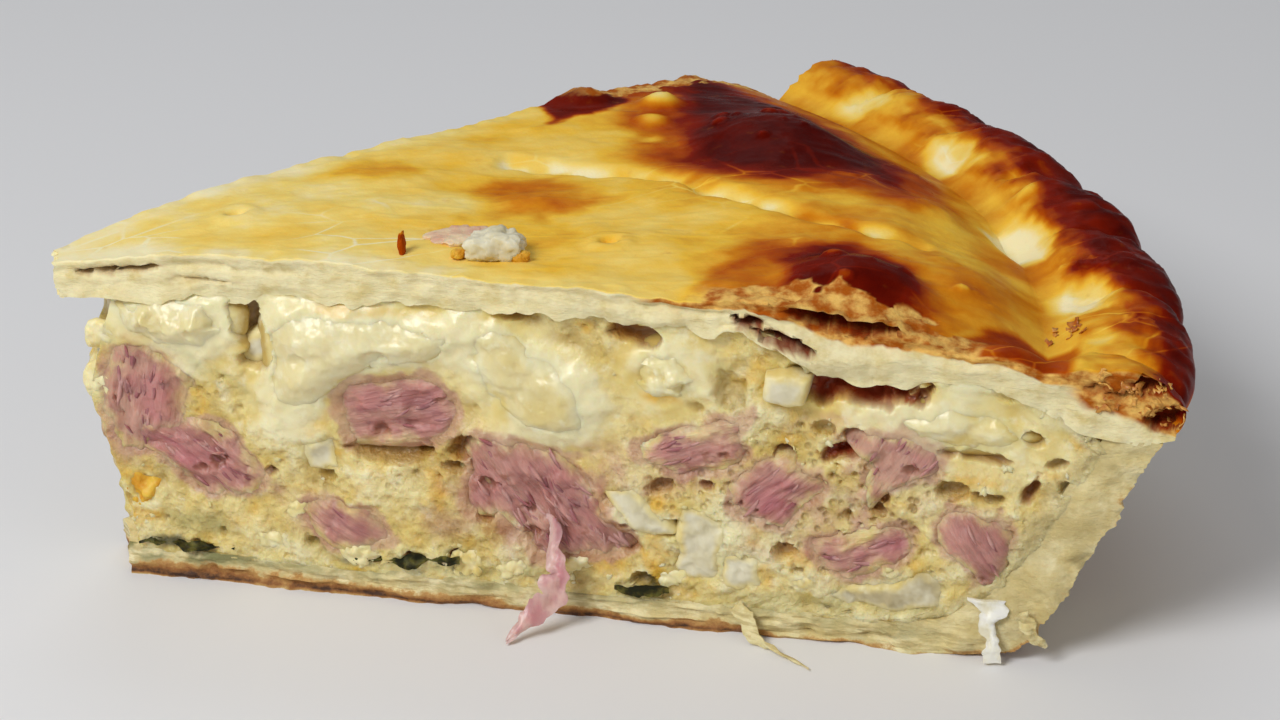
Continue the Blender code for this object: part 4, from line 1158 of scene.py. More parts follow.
def ham_colour(start):
    fibres = start.noise(start.mark("grain", 1), 1.0, 5, 0.65)
    blotches = start.noise(start.place(), 210, 4, 0.6)
    colour = start.blend(shade(200, 136, 130), shade(144, 76, 82), fibres.between(0.3, 0.7))
    colour = colour.towards(
        shade(208, 168, 142), (start.mark("pale") * 0.9 + blotches.between(0.52, 0.76) * 0.5).kept()
    )
    colour = colour.towards(
        shade(190, 104, 116), start.noise(start.place(), 110, 2).between(0.46, 0.62) * 0.5
    )
    colour = colour.towards(shade(146, 82, 48), start.noise(start.place(), 380, 3).between(0.60, 0.70) * 0.6)
    film = (start.mark("edge") * 1.4 + blotches * 1.3 - 0.85).between(0.0, 1.0)
    colour = colour.towards(flesh(start), film * 0.9)
    colour = colour.towards(
        cream(start), (start.mark("edge") * 1.3 + blotches * 1.6 - 1.55).between(0.0, 0.7) * 0.85
    )
    # Painted shade in the ham's pits and low places.
    return colour.towards(shade(146, 80, 40), start.mark("hollow") * 0.8)


def ham_bumps(start):
    fibres = start.noise(start.mark("grain", 1), 2.2, 5, 0.6)
    return start.bump(fibres, 0.8, 0.0005)


def ham_gloss(start):
    return start.noise(start.place(), 500).between(0.3, 0.7, 0.28, 0.5)


ham_finish = food_finish("cooked_ham", ham_colour, ham_gloss, ham_bumps, 0.35, (0.003, 0.001, 0.0008), 0.12)


def vector_mark(mesh, name, vectors):
    """Gives each point of a mesh its own direction or place."""
    layer = mesh.attributes.new(name, "FLOAT_VECTOR", "POINT")
    layer.data.foreach_set("vector", vectors.astype(np.float32).ravel())


def fibre_shape(rod):
    thin = 0.07 * (1.05 - rod[:, :1] ** 2) + 0.006
    return np.concatenate([
        rod[:, :1] * 0.5, rod[:, 1:2] * thin + 0.05 * rod[:, :1] ** 2, rod[:, 2:] * thin * 0.5 - 0.012
    ], 1)


ham_fibre = template_of("ham_fibre", block_skin(6, 1, 1), fibre_shape)


def fibre_colour(start):
    return start.blend(
        shade(208, 150, 140), shade(160, 94, 96), start.noise(start.place(), 320, 3).between(0.38, 0.64)
    )


fibre_finish = food_finish("ham_fibre", fibre_colour, 0.38, None, 0.3, (0.002, 0.0008, 0.0006))


def room_behind(outline, most):
    """How deep in mm a piece may reach behind its cut: less near the tip, where the slice is thin."""
    return min(most, 0.42 * max(min(along for along, _ in outline), 4))


for number, (node, side, outline, proud, grain, pale, torn) in enumerate(ham_pieces):
    x, y, share, quads = lump(outline)
    with_grain, over_grain = leaned(x, y, *np.array(outline).mean(0), grain)
    room = room_behind(outline, 7.0)
    bend = 0.9 * softness(x / 4, y / 4, number * 2.0, 98)
    fibre = crumble(with_grain / 4, (over_grain + bend) / 0.62, share * 2 + number * 5, 3, 91)
    strand = crumble(with_grain / 8, (over_grain + bend) / 1.9, number * 3.0, 2, 92)
    front = (1 - share) / 2
    reach = outline_reach(x, y, outline) + torn_edge(x, y)
    dome = -0.35 * (1 - step_up(-0.9, 0.6, reach))
    relief = cut_relief(side, x, y)[0]
    pits = bubbles(x + 0.5 * fibre, y + 0.4 * strand, 2.9, 93 + number, 0.35) * step_up(0.6, 1.6, reach)
    lift = 0.45 * proud + dome + (0.4 + 0.6 * torn) * (0.20 * fibre + 0.36 * strand) - 0.8 * pits
    out = (relief + lift) * front - room * (1 - front)
    edge = (1 - step_up(-0.6, 3.6, reach)) * front
    tear_here = crumble(x / 3, y / 3, number * 5.0, 3, 99)
    # Where the ham lies low between its fibres and in its pits, for painted shade.
    pits = (step_up(0.5, 1.1, -fibre - strand) * 0.5 + step_up(0.15, 0.6, pits)) * front
    piece = food_piece(
        node + "_detail", cut_points(side, x, y, out), quads, ham_finish,
        {"pale": pale + 0.3 * np.clip(strand, 0, 1), "edge": edge, "hollow": np.minimum(pits, 1) * 0.7,
         "loose": step_up(0.2, 1.6, reach) * (front > 0.8) * (0.3 + 0.7 * step_up(-0.5, 0.6, tear_here))},
    )
    streaks = np.stack([with_grain * 0.09, over_grain * 0.75, share * 2 + number * 3.0], -1)
    vector_mark(piece.data, "grain", streaks)
    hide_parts(node)
    part = faces_of(piece, "loose")
    lean = math.radians(grain)
    outwards = np.array((math.cos(HALF_ANGLE), side * math.sin(HALF_ANGLE), 0))
    course = math.cos(lean) * outwards + math.sin(lean) * np.array((0, 0, 1))
    vector_mark(part, "lie", np.tile(course, (len(part.vertices), 1)))
    fibres = scattered(
        node + "_fibres", part, ham_fibre, fibre_finish, 0.14 + 0.25 * torn, 1.2, 3.4, 0.06, number + 3,
        lie=True
    )
    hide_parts(node)

# BOILED EGG
# Egg white in clean-cut dice, smooth and a little see-through, and yolk that crumbles. Both lie in the
# custard like the ham.


def white_colour(start):
    cloud = start.noise(start.place(), 260, 3)
    colour = start.blend(shade(224, 217, 190), shade(205, 195, 158), cloud.between(0.35, 0.7))
    colour = colour.towards(shade(184, 170, 132), start.mark("glassy") * cloud.between(0.3, 0.6))
    blotches = start.noise(start.place(), 300, 4, 0.6)
    return colour.towards(
        cream(start), (start.mark("edge") * 1.3 + blotches * 1.2 - 0.9).between(0.0, 0.9) * 0.9
    )


def white_bumps(start):
    return start.bump(start.noise(start.place(), 700, 3), 0.25, 0.0004)


white_finish = food_finish(
    "boiled_white", white_colour, 0.42, white_bumps, 0.4, (0.002, 0.0018, 0.0013), 0.06, 0.25
)


def yolk_colour(start):
    cloud = start.noise(start.place(), 420, 4)
    return start.blend(shade(230, 186, 62), shade(212, 146, 18), cloud.between(0.35, 0.65))


def yolk_bumps(start):
    return start.bump(start.noise(start.place(), 1300, 5), 0.6, 0.0005)


yolk_finish = food_finish("boiled_yolk", yolk_colour, 0.55, yolk_bumps, 0.2, (0.002, 0.001, 0.0004), 0.1)
# a die that stands out or back by more than this, in mm, keeps its own flat face
STANDS_CLEAR = 0.9
GLASSY_WHITES = ("egg_white_near_7", "egg_white_near_6")
for group, finish, slot_name, square, unevenness in (
    (egg_white_pieces, white_finish, "egg_white", 5.0, 0.16),
    (egg_yolk_pieces, yolk_finish, "egg_yolk", 2.6, 0.5),
):
    for number, (node, side, outline, proud) in enumerate(group):
        x, y, share, quads = lump(outline, 0.26, square, 0.7 if proud < 1 else 0.1)
        front = (1 - share) / 2
        reach = outline_reach(x, y, outline) + 0.5 * torn_edge(x, y)
        room = room_behind(outline, 6.0)
        dome = -0.25 * (1 - step_up(-0.6, 0.5, reach))
        level = proud if abs(proud) > STANDS_CLEAR else cut_relief(side, x, y)[0]
        knobs = unevenness * crumble(x / 1.5, y / 1.5, number * 4.0, 3, 101)
        out = level - room * (1 - front) + front * (dome + knobs)
        piece = food_piece(
            node + "_detail", cut_points(side, x, y, out), quads, finish,
            {"edge": (1 - step_up(-0.3, 2.0, reach)) * front, "glassy": float(node in GLASSY_WHITES)},
        )
        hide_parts(node)

# MELTED CHEESE
# Soft white cheese that melted into glossy lumps under the lid and ran down over the ham. It swells out
# of the cut, and its edge runs into the custard. Two lumps stayed crumbly.


def cheese_colour(start):
    cloud = start.noise(start.place(), 170, 4)
    # Painted shade and highlight from the relief, and a darker yellow painted shade over each lump's middle.
    colour = relief_shade_and_highlight(start, cream(start)).towards(
        shade(208, 184, 102), (start.mark("deep") + cloud - 0.5).between(0.0, 1.0) * 0.7
    )
    return colour.towards(shade(242, 238, 208), start.noise(start.place(), 520, 3).between(0.56, 0.76) * 0.5)


def cheese_bumps(start):
    return start.bump(start.noise(start.place(), 520, 5, 0.6), 0.35, 0.0006)


cheese_finish = food_finish(
    "melted_cheese", cheese_colour, 0.32, cheese_bumps, 0.4, (0.0024, 0.0018, 0.0009), 0.25
)
CRUMBLY_CHEESE = ("cheese_near_2", "cheese_near_4")
CHEESE_SHADE = {"cheese_near_3": 0.65, "cheese_near_2": 0.5}
for number, (node, side, outline, _) in enumerate(cheese_pieces):
    x, y, share, quads = lump(outline, 0.3, 2.7, 1.6)
    front = (1 - share) / 2
    reach = outline_reach(x, y, outline) + torn_edge(x, y)
    crumbly = 0.8 if node in CRUMBLY_CHEESE else 0.2
    room = room_behind(outline, 5.0)
    dome = cut_relief(side, x, y)[0] - 0.3 * (1 - step_up(-1.2, 1.0, reach))
    broken = 0.6 * curds(x + y * 0.3, y, 3.0, 111 + number) + 0.4 * curds(x, y + x * 0.2, 1.2, 117 + number)
    broken = broken + 0.5 * crumble(x / 1.2, y / 1.2, 0, 4, 112)
    lumps = crumbly * broken + 0.3 * crumble(x / 5, y / 4, number * 4.0, 2, 113)
    pits = 0.5 * bubbles(x, y, 3.6, 114 + number, 0.25)
    out = front * (dome + lumps * step_up(0, 3, reach) - pits) - room * (1 - front)
    # Painted shade over the lump, most on cheese_near_3; the relief mark below sets painted shade and
    # highlight.
    deep = CHEESE_SHADE.get(node, 0.3) * step_up(0.5, 3.0, reach)
    piece = food_piece(
        node + "_detail", cut_points(side, x, y, out), quads, cheese_finish,
        {"deep": deep, "relief": np.clip((out + 1.2) / 2.0, 0, 1)},
    )
    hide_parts(node)

# LEAVES AND SHREDS
# Thin cooked leaves on the bottom crust, a pulled shred of ham that hangs out of the big piece, a flake of
# egg white at the corner, and pale threads. Each is a ribbon along its own course in front of the cut.


def ribbon(side, course, widths, thickness, curl, seed):
    """A thin twisted ribbon along a course of (along, up, out of the cut) in mm, as points and quads."""
    course = np.array(course, float)
    run = distance_along(course[:, :2])
    shares, quads = block_skin(60, 2, 8)
    at = shares[:, 0] * run[-1]
    ruler = np.linspace(0, run[-1], 200)
    bend = [smoothed(np.interp(ruler, run, column), 14) for column in course.T]
    x, y, proud = (np.interp(at, ruler, column) for column in bend)
    step = run[-1] * 0.02
    ahead = [
        np.interp(at + step, ruler, column) - np.interp(at - step, ruler, column) for column in bend[:2]
    ]
    size = np.maximum(np.hypot(*ahead), 1e-6)
    wide = (
        np.interp(at, run, widths)
        * (1 + 0.42 * crumble(at / 1.5, seed, np.sign(shares[:, 2] - 0.5), 3, 121))
    )
    over = (shares[:, 2] - 0.5) * wide
    wave = curl * softness(at / 3.0, shares[:, 2] * 1.4, seed, 122)
    wave = wave + curl * 0.5 * softness(at / 0.9, shares[:, 2] * 3, seed, 123)
    thin = (
        thickness * (1 - 0.7 * np.abs(shares[:, 2] * 2 - 1)) * (1 - 0.8 * step_up(0.85, 1.0, shares[:, 0]))
    )
    out = proud + wave + (0.5 - shares[:, 1]) * thin
    return cut_points(
        side, x - ahead[1] / size * over, np.maximum(y + ahead[0] / size * over, 0.12), out
    ), quads


def leaf_colour(start):
    cloud = start.noise(start.place(), 500, 4)
    return start.blend(shade(30, 32, 14), shade(104, 100, 44), cloud.between(0.42, 0.72))


leaf_finish = food_finish("cooked_leaf", leaf_colour, 0.5, cheese_bumps, 0.1, gloss=0.12)


def pulled_colour(start):
    cloud = start.noise(start.place((1, 1, 0.4)), 600, 4)
    return start.blend(shade(222, 176, 168), shade(196, 136, 140), cloud.between(0.38, 0.66))


pulled_finish = food_finish(
    "pulled_ham", pulled_colour, 0.36, cheese_bumps, 0.4, (0.003, 0.0012, 0.001), 0.15
)


def scrap_colour(start):
    cloud = start.noise(start.place(), 260, 4)
    return start.blend(shade(240, 206, 166), shade(226, 168, 138), cloud.between(0.38, 0.66))


scrap_finish = food_finish(
    "pale_ham_scrap", scrap_colour, 0.4, cheese_bumps, 0.4, (0.003, 0.0014, 0.0008), 0.1
)


def flake_colour(start):
    return start.blend(
        shade(242, 240, 226), shade(224, 216, 186), start.noise(start.place(), 420, 4).between(0.4, 0.66)
    )


flake_finish = food_finish(
    "flake_of_white", flake_colour, 0.4, white_bumps, 0.3, (0.0015, 0.0015, 0.001), 0.05
)
# name, node it stands for, finish, slot, cut, course, widths, thickness, curl
ribbons = (
    (
        "leaf_near_1_detail", "leaf_near_1", leaf_finish, "leaf", NEAR,
        (
            (7.8, 4.0, 0.0), (9.6, 4.6, 0.2), (11.6, 4.7, -0.6), (13.6, 4.3, 0.1), (15.4, 4.2, 0.2),
            (17.6, 4.5, -0.6), (19.6, 4.6, -0.1)
        ),
        (0.4, 1.2, 0.4, 0.7, 1.2, 0.3, 0.6), 0.3, 0.5
    ),
    (
        "leaf_near_2_detail", "leaf_near_2", leaf_finish, "leaf", NEAR,
        (
            (33, 4.4, -0.6), (35.4, 4.5, 0.0), (37.6, 4.6, -0.7), (40.4, 4.9, 0.1), (42, 5.2, 0.2),
            (44, 5.3, -0.7), (46, 5.6, 0.1), (47.6, 5.9, 0.1)
        ),
        (0.3, 0.6, 0.3, 1.2, 1.6, 0.4, 1.3, 0.8), 0.35, 0.5
    ),
    (
        "leaf_near_3_detail", "leaf_near_3", leaf_finish, "leaf", NEAR,
        ((66, 4.4, 0.3), (69, 4.2, 0.5), (72.4, 4.7, 0.3)), (0.7, 1.4, 0.7), 0.35, 0.3
    ),
    (
        "leaf_far_1_detail", "leaf_far_1", leaf_finish, "leaf", FAR,
        ((24, 4.5, 0.4), (28, 5.0, 0.5), (33, 4.5, 0.3)), (0.9, 1.8, 0.9), 0.4, 0.4
    ),
    (
        "leaf_far_2_detail", "leaf_far_2", leaf_finish, "leaf", FAR,
        ((70, 4.5, 0.4), (76, 5.0, 0.5), (82, 4.6, 0.3)), (0.9, 1.8, 0.9), 0.4, 0.4
    ),
    (
        "egg_flake_detail", "egg_flake", flake_finish, "egg_white", NEAR,
        ((109.2, 7.4, 0.3), (109.2, 5.4, 0.9), (109.7, 3.2, 1.4), (109.9, 0.4, 2.0)), (4.8, 2.2, 1.9, 1.4),
        0.6, 0.5
    ),
    (
        "ham_shred", "ham_near_5", pulled_finish, "ham", NEAR,
        (
            (59.2, 13.0, 0.5), (59.0, 9.6, 1.6), (60.4, 7.2, 2.4), (59.8, 4.4, 4.0), (57.6, 2.6, 6.0),
            (55.2, 0.4, 8.6)
        ),
        (1.6, 1.5, 2.6, 4.2, 2.8, 0.3), 0.45, 0.7
    ),
    (
        "crust_thread_1", None, bottom_finish, "pale_crust", NEAR,
        ((80.2, 3.6, 0.2), (81.6, 2.4, 1.2), (83.4, 0.9, 2.8), (86.4, 0.5, 4.8), (90.0, 0.3, 7.2)),
        (1.4, 2.4, 1.1, 0.6, 0.15), 0.5, 0.3
    ),
    (
        "crust_thread_2", None, bottom_finish, "pale_crust", NEAR,
        ((112.8, 6.4, 0.4), (114.2, 4.2, 0.8), (115.6, 2.4, 0.8)), (1.8, 1.5, 0.6), 0.6, 0.5
    ),
)
for number, (name, node, finish, slot_name, side, course, widths, thickness, curl) in enumerate(ribbons):
    points, quads = ribbon(side, course, widths, thickness, curl, number * 5.0)
    piece = food_piece(name, points, quads, finish, {"edge": 0.0})
    if node:
        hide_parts(node)

# TOP CRUST
# One sheet of pastry, brushed with egg: pale at the tip, blown into dark blisters near the rim, torn in
# layers at the cut, and crimped with the bottom crust into a rope of folds round the edge.

# radius, angle, half-length, half-width, height
blisters = (
    (92, 9, 13.5, 13.0, 2.7),
    (92.5, -21.5, 10.5, 8.5, 3.0),
    (57, -0.5, 6, 4, 0.9),
    (78, 25.5, 5.5, 3.4, 1.1),
    (85, 20.5, 4, 3.6, 1.3),
    (80.5, 17, 3.2, 3.0, 0.8),
    (106, -16.5, 8, 12, 1.7),
    (104, -4, 6, 5, 0.9),
)
crease_angles = (-34.6, -25.6, -16.6, -7.6, 1.4, 10.0, 18.8, 27.6)


def even_curve(points):
    """A smooth reading of (place, value) points, as a function."""
    places = np.linspace(points[0][0], points[-1][0], 500)
    values = smoothed(np.interp(places, *zip(*points)), 12)
    return lambda at: np.interp(at, places, values)


lid_height = even_curve(
    ((0, 39.6), (12, 41.4), (26, 42.6), (60, 41.4), (86, 41.6), (98, 40.2), (107, 36.8), (114, 33.2))
)


def flat_offset(radius, angle, middle_radius, middle_angle):
    """Distance outwards and sideways, in mm, from a place given by its radius and angle."""
    turn = np.radians(angle - middle_angle)
    return radius * np.cos(turn) - middle_radius, radius * np.sin(turn)


def mound(away):
    return np.maximum(0, 1 - away * away) ** 2


def on_plan(places):
    """Corners in mm from above, from places given as radius and angle."""
    return tuple((r * math.cos(math.radians(a)), r * math.sin(math.radians(a))) for r, a in places)


# radius and angle of the pale valley that runs between the blisters
VALLEY_COURSE = (
    (58, 13), (62, 10.5), (68.3, 6), (75, 2.2), (78.3, -2.3), (82.6, -5.2), (86.9, -7.9), (90.5, -9.6),
    (95.1, -11), (99.3, -11.7),
)


def valley(x, y):
    """1 in the pale valley, 0 off it."""
    width = 2.6 + 0.7 * softness(x / 3, y / 3, 0, 129)
    return mound(np.minimum(line_distance(x, y, on_plan(VALLEY_COURSE)) / width, 1))


def crimp(angle, inwards):
    """Place within a fold of the rope, from 0 at one crease to 1 at the next, and the fold's number."""
    along = np.interp(angle - 2.4 * inwards, crease_angles, range(len(crease_angles)))
    return along % 1.0, np.floor(along)


LID_END = 114.0
ROPE_MIDDLE, ROPE_LEVEL = 122.8, 31.4
ROPE_HALF_WIDTH = 7.6
ROPE_FOOT = 130
NOTCH_SHAPE = 0.42
LID_CELLS, ROPE_CELLS = 208, 40
lid_share = LID_CELLS / (LID_CELLS + ROPE_CELLS)
shares, quads = block_skin(LID_CELLS + ROPE_CELLS, 224, 18, thin_below=4)
along, across, rise = shares[:, 0], shares[:, 1] * 2 - 1, shares[:, 2]
angle = across * HALF_DEGREES
side = np.where(across >= 0, 1.0, -1.0)
on_rope = along > lid_share + 1e-9
rope_run = np.clip((along - lid_share) / (1 - lid_share), 0, 1)

# The skin: the sheet's own waves, the blisters, the valley between them, and the folds of the rope.
radius_lid = LID_END * np.minimum(along / lid_share, 1)
x_mm, y_mm = radius_lid * np.cos(np.radians(angle)), radius_lid * np.sin(np.radians(angle))
skin = lid_height(radius_lid)
swollen = np.zeros(len(along))
for where_r, where_a, length, width, tall in blisters:
    dx, dy = flat_offset(radius_lid, angle, where_r, where_a)
    swollen = swollen + tall * mound(np.hypot(dx / length, dy / width))
in_valley = valley(x_mm, y_mm)
skin = skin + swollen - 1.1 * in_valley
fade = step_up(4, 14, radius_lid) * (1 - step_up(108, 114, radius_lid))
waves = 0.34 * crumble(x_mm / 13, y_mm / 9, 0, 2, 131) + 0.12 * crumble(x_mm / 3.4, y_mm / 2.6, 0, 3, 132)
skin = skin + fade * waves
ridges = np.abs(
    softness(x_mm / 9 + 0.4 * softness(x_mm / 5, y_mm / 5, 0, 133), y_mm / 2.2 + x_mm / 14, 0, 134)
)
skin = skin + fade * 0.08 * (1 - step_up(0, 0.3, ridges)) * step_up(20, 50, radius_lid)
flap_x, flap_y = flat_offset(radius_lid, angle, 78, 25.4)
flap = mound(np.hypot(flap_x / 5.5, flap_y / 3.4))
skin = skin + 0.5 * flap


def lobe(radius, angle):
    """The soft fold of the lid that fills the crease beside the rope at the near cut."""
    dx, dy = flat_offset(radius, angle, 113, -25.8)
    return 3.0 * mound(np.minimum(np.hypot(dx / 8.5, dy / 5.5), 1))


skin = skin + lobe(radius_lid, angle)
for where_r, where_a in ((21.5, 3.4), (64.2, -14.8)):
    dx, dy = flat_offset(radius_lid, angle, where_r, where_a)
    away = np.hypot(dx, dy)
    skin = skin - 1.5 * mound(np.minimum(away / 1.1, 1)) + 0.4 * mound((away - 1.9) / 1.6)
pearls = bubbles(x_mm, y_mm, 3.2, 135, 0.5) * fade * step_up(0.2, 1.4, swollen) * 0.45
skin = skin + pearls
from_cut = (1 - np.abs(across)) * HALF_ANGLE * np.maximum(radius_lid, 1) + BLUNT_TIP * (1 - np.abs(across))
ragged = crumble(along * 60, side * 4, 0, 4, 136)
flaked = step_up(0.7, -0.5, from_cut - 2.7 + 1.2 * crumble(radius_lid / 2.4, from_cut / 2, side * 3, 4, 133))
flaked = (
    flaked * step_up(72, 84, radius_lid) * (1 - step_up(104, 109, radius_lid)) * np.where(side < 0, 1, 0.6)
)
skin = skin - flaked * (0.3 + 0.28 * crumble(radius_lid / 0.9, from_cut / 0.7, side * 3, 3, 132)) * fade
notches = 0.2 * ragged - 0.5 * np.maximum(0, softness(along * 22, side * 9, 0, 130) - 0.25)
skin = skin + notches * (1 - step_up(0, 1.6, from_cut)) * fade * np.where(side < 0, 1, 0.55)


# radius, angle, half-length, half-width and depth in mm, how far it is turned
THUMB_MARKS = (
    (115.2, -4.6, 5.0, 9.0, 1.9, 0.16), (118.8, -14.8, 4.4, 7.6, 2.1, 0.0),
    (117.6, 9.2, 4.6, 6.4, 1.5, -0.10), (118.5, 20.5, 4.0, 5.0, 1.2, 0.0),
    (120.4, 3.4, 2.6, 2.6, 0.8, 0.0), (119.8, -21.4, 2.4, 2.6, 0.5, 0.0),
)


def foot_hollows(radius, angle):
    """(depth in mm, paleness) of the pale dents that fingers left at the rope's foot."""
    depth, pale = np.zeros(np.shape(radius)), np.zeros(np.shape(radius))
    wander = crumble(radius / 3.0, angle / 1.6, 0, 3, 128)
    for where_r, where_a, length, width, deep, turn in THUMB_MARKS:
        dx, dy = flat_offset(radius, angle, where_r, where_a)
        away = np.hypot((dx + turn * dy) / length, (dy - turn * dx) / width)
        depth = np.maximum(depth, deep * mound(np.minimum(away, 1)))
        pale = np.maximum(pale, step_up(0.95, 0.35, away + 0.16 * wander) * min(1, deep / 1.6))
    return depth, pale


place, fold = crimp(angle + 0.5 * softness(angle / 2, rope_run * 2, 0, 127), 1 - rope_run)
notch = 1 - np.sin(math.pi * place) ** NOTCH_SHAPE
turn = np.radians(152 - 166 * rope_run)
own = softness(fold * 1.7, 3.0, 0, 137)
half_width = ROPE_HALF_WIDTH - 3.0 * notch * rope_run**1.4 + 0.6 * own * rope_run
half_height = 5.4 + 0.5 * own + 1.0 * (place - 0.5) * np.sin(math.pi * rope_run)
pleat_here = step_up(-0.25, 0.35, softness(angle / 6, rope_run, 0, 126)) * mound((rope_run - 0.30) / 0.42)
slant = angle / 0.95 + rope_run * 3.4 + 0.8 * softness(angle / 3, rope_run * 2, 0, 125)
pleats = (1 - step_up(0, 0.5, np.abs(softness(slant, rope_run * 1.1, 0, 138)))) * pleat_here
rope_r = ROPE_MIDDLE + half_width * np.cos(turn)
rope_z = ROPE_LEVEL + half_height * np.sin(turn) - 1.9 * notch * mound((rope_run - 0.55) / 0.5)
rope_dents = crumble(angle / 2.0, rope_run * 3.5, 0, 4, 139) * 0.42
rope_dents = (rope_dents + 0.16 * crumble(angle / 0.6, rope_run * 9, 0, 3, 124)) * np.sin(math.pi * rope_run)
rope_dents = rope_dents + 0.75 * pleats - 0.2 * pleat_here
rope_r, rope_z = rope_r + rope_dents * np.cos(turn), rope_z + rope_dents * np.sin(turn)
rope_z = rope_z + lobe(rope_r, angle) * (1 - step_up(0.1, 0.45, rope_run))
dent, pale_dent = foot_hollows(np.where(on_rope, rope_r, radius_lid), angle)
dent = dent * (1 - step_up(0.35, 0.6, rope_run))
rope_z, skin = rope_z - dent, skin - dent
skin_r, skin_z = np.where(on_rope, rope_r, radius_lid), np.where(on_rope, rope_z, skin)

# The underside lies on the custard, and under the rope on the wall's top.
notch_below = 1 - np.sin(math.pi * crimp(angle, 0)[0]) ** NOTCH_SHAPE
rope_edge = ROPE_MIDDLE + (ROPE_HALF_WIDTH - 2.5 * notch_below) * math.cos(math.radians(14)) - 0.8
under_r = np.where(on_rope, LID_END + (rope_edge - LID_END) * rope_run, radius_lid)
under_z = top_underside(np.where(on_rope, LID_END + (ROPE_FOOT - LID_END) * rope_run, radius_lid), angle)
radius = under_r + (skin_r - under_r) * rise
height = under_z + (skin_z - under_z) * rise

# The cut through it: torn layers, a thin lip, and gaps between the sheets of dough.
# cut, outline, depth, and how dark the painted shade in it is
gaps = (
    (NEAR, (
        (85.6, 40.3), (88, 41.3), (90.7, 41.2), (92.5, 41.9), (94.7, 41.6), (97, 41), (99.4, 39.2),
        (97, 38.6), (93.5, 38.2), (90.7, 38.4), (88, 39)
    ), 9.0, 1.0),
    (NEAR, ((80, 39.2), (83, 39.1), (82.8, 38.4), (80.4, 38.6)), 3.0, 1.0),
    (NEAR, ((82.4, 37.9), (84.9, 38.1), (87.6, 37.1), (89.8, 35.7), (87.1, 35.8), (84.4, 36.6)), 4.0, 1.0),
    (NEAR, ((2.6, 38.3), (5, 39.3), (8, 39.6), (13.6, 40.4), (12, 39.5), (7, 38.7)), 3.5, 0.45),
    (NEAR, ((14.5, 38.6), (19, 39.0), (24, 38.7), (19, 38.3)), 1.0, 0.15),
    (NEAR, ((122.6, 34.9), (125, 36.4), (127.4, 36.4), (129, 35.4), (127, 34.6), (124.4, 34.3)), 2.5, 1.0),
    (NEAR, ((124.6, 31.0), (127, 32.8), (130.4, 33), (130.2, 31.2), (128.3, 30.2), (126, 30)), 2.5, 1.0),
    (NEAR, ((117.4, 34.1), (119.6, 35), (121.4, 34.6), (119.4, 33.7)), 1.0, 0.6),
    (NEAR, ((120.6, 33.6), (123.5, 34.6), (124.4, 34.2), (122.5, 33.2)), 1.4, 0.4),
    (FAR, ((62, 39.4), (68, 40.2), (76, 40), (80, 39.3), (74, 39), (66, 38.8)), 6.0, 0.8),
    (FAR, ((94, 38.3), (99, 38.4), (104, 36.6), (99, 37.3)), 3.0, 0.7),
    (FAR, ((121, 34.2), (125, 35.6), (129, 34.6), (125, 34.4)), 3.0, 0.9),
    (FAR, ((8, 39), (15, 40), (22, 40.4), (15, 39.2)), 2.0, 0.4),
)
on_cut = np.abs(across) > ON_A_CUT
flaky = 0.35 + 0.65 * step_up(60, 80, radius)
layers = 0.42 * (flaky - 0.25) * crumble(radius / 9, height / 0.75, side * 4, 3, 141)
layers = layers + 0.24 * crumble(radius / 1.7, height / 1.5, side * 6, 3, 142)
seam = mound((rise - 0.66 - 0.1 * softness(radius / 6, side, 0, 146)) / 0.12)
seam = 0.35 * seam * step_up(-0.1, 0.5, softness(radius / 9, side * 3, 0, 147))
lip = 0.45 + 0.35 * step_up(0.72, 0.95, rise) - seam
lip = lip + 0.5 * step_up(0.35, 0.0, rise) * softness(radius / 7, side * 5, 0, 148)
sheet_curl = 0.9 * mound((radius - 90) / 13) * mound((height - 35.6) / 2.4) * (side == NEAR)
to_wall = step_up(106, 113, radius) * step_up(0.75, 0.35, rise)
wall_relief = dough_relief(7.0 * (side > 0), radius, height)
out = np.where(on_cut, (layers + lip + sheet_curl) * (1 - to_wall) + wall_relief * to_wall, 0.0)
lower_edge = (0.7 * crumble(radius / 3.2, side * 2, 0, 4, 149) - 0.35) * (1 - step_up(0, 0.3, rise)) * fade
height = height + lower_edge * (1 - step_up(0, 1.2, from_cut))
warp = 0.35 * crumble(radius / 1.3, height / 1.0, side * 2, 3, 143)
hollow, dark = np.zeros(len(along)), np.zeros(len(along))
for cut, outline, deep, shadow in gaps:
    reach = outline_reach(radius, height, outline) + warp
    here = (side == cut) * on_cut * (rise < 0.985)
    hollow = np.maximum(hollow, min(deep, 5.0) * step_up(-0.1, 0.5, reach) * here)
    dark = np.maximum(dark, shadow * step_up(-0.35, 0.1, reach) * here)
out = out - hollow
tip_tear = (
    0.9 * crumble(across * 2, height / 1.6, 0, 3, 144) + 0.4 * crumble(across * 6, height / 0.5, 0, 3, 145)
)
radius = np.maximum(radius + (tip_tear + 0.6 * (1 - rise)) * (along < 1e-6), 0.05)
edge_out = 0.42 * crumble(radius / 9, height / 0.75, side * 4, 3, 141) * (1 - step_up(0, 1.2, from_cut))
out = np.where(~on_cut & (rise > 0.999), edge_out, out)

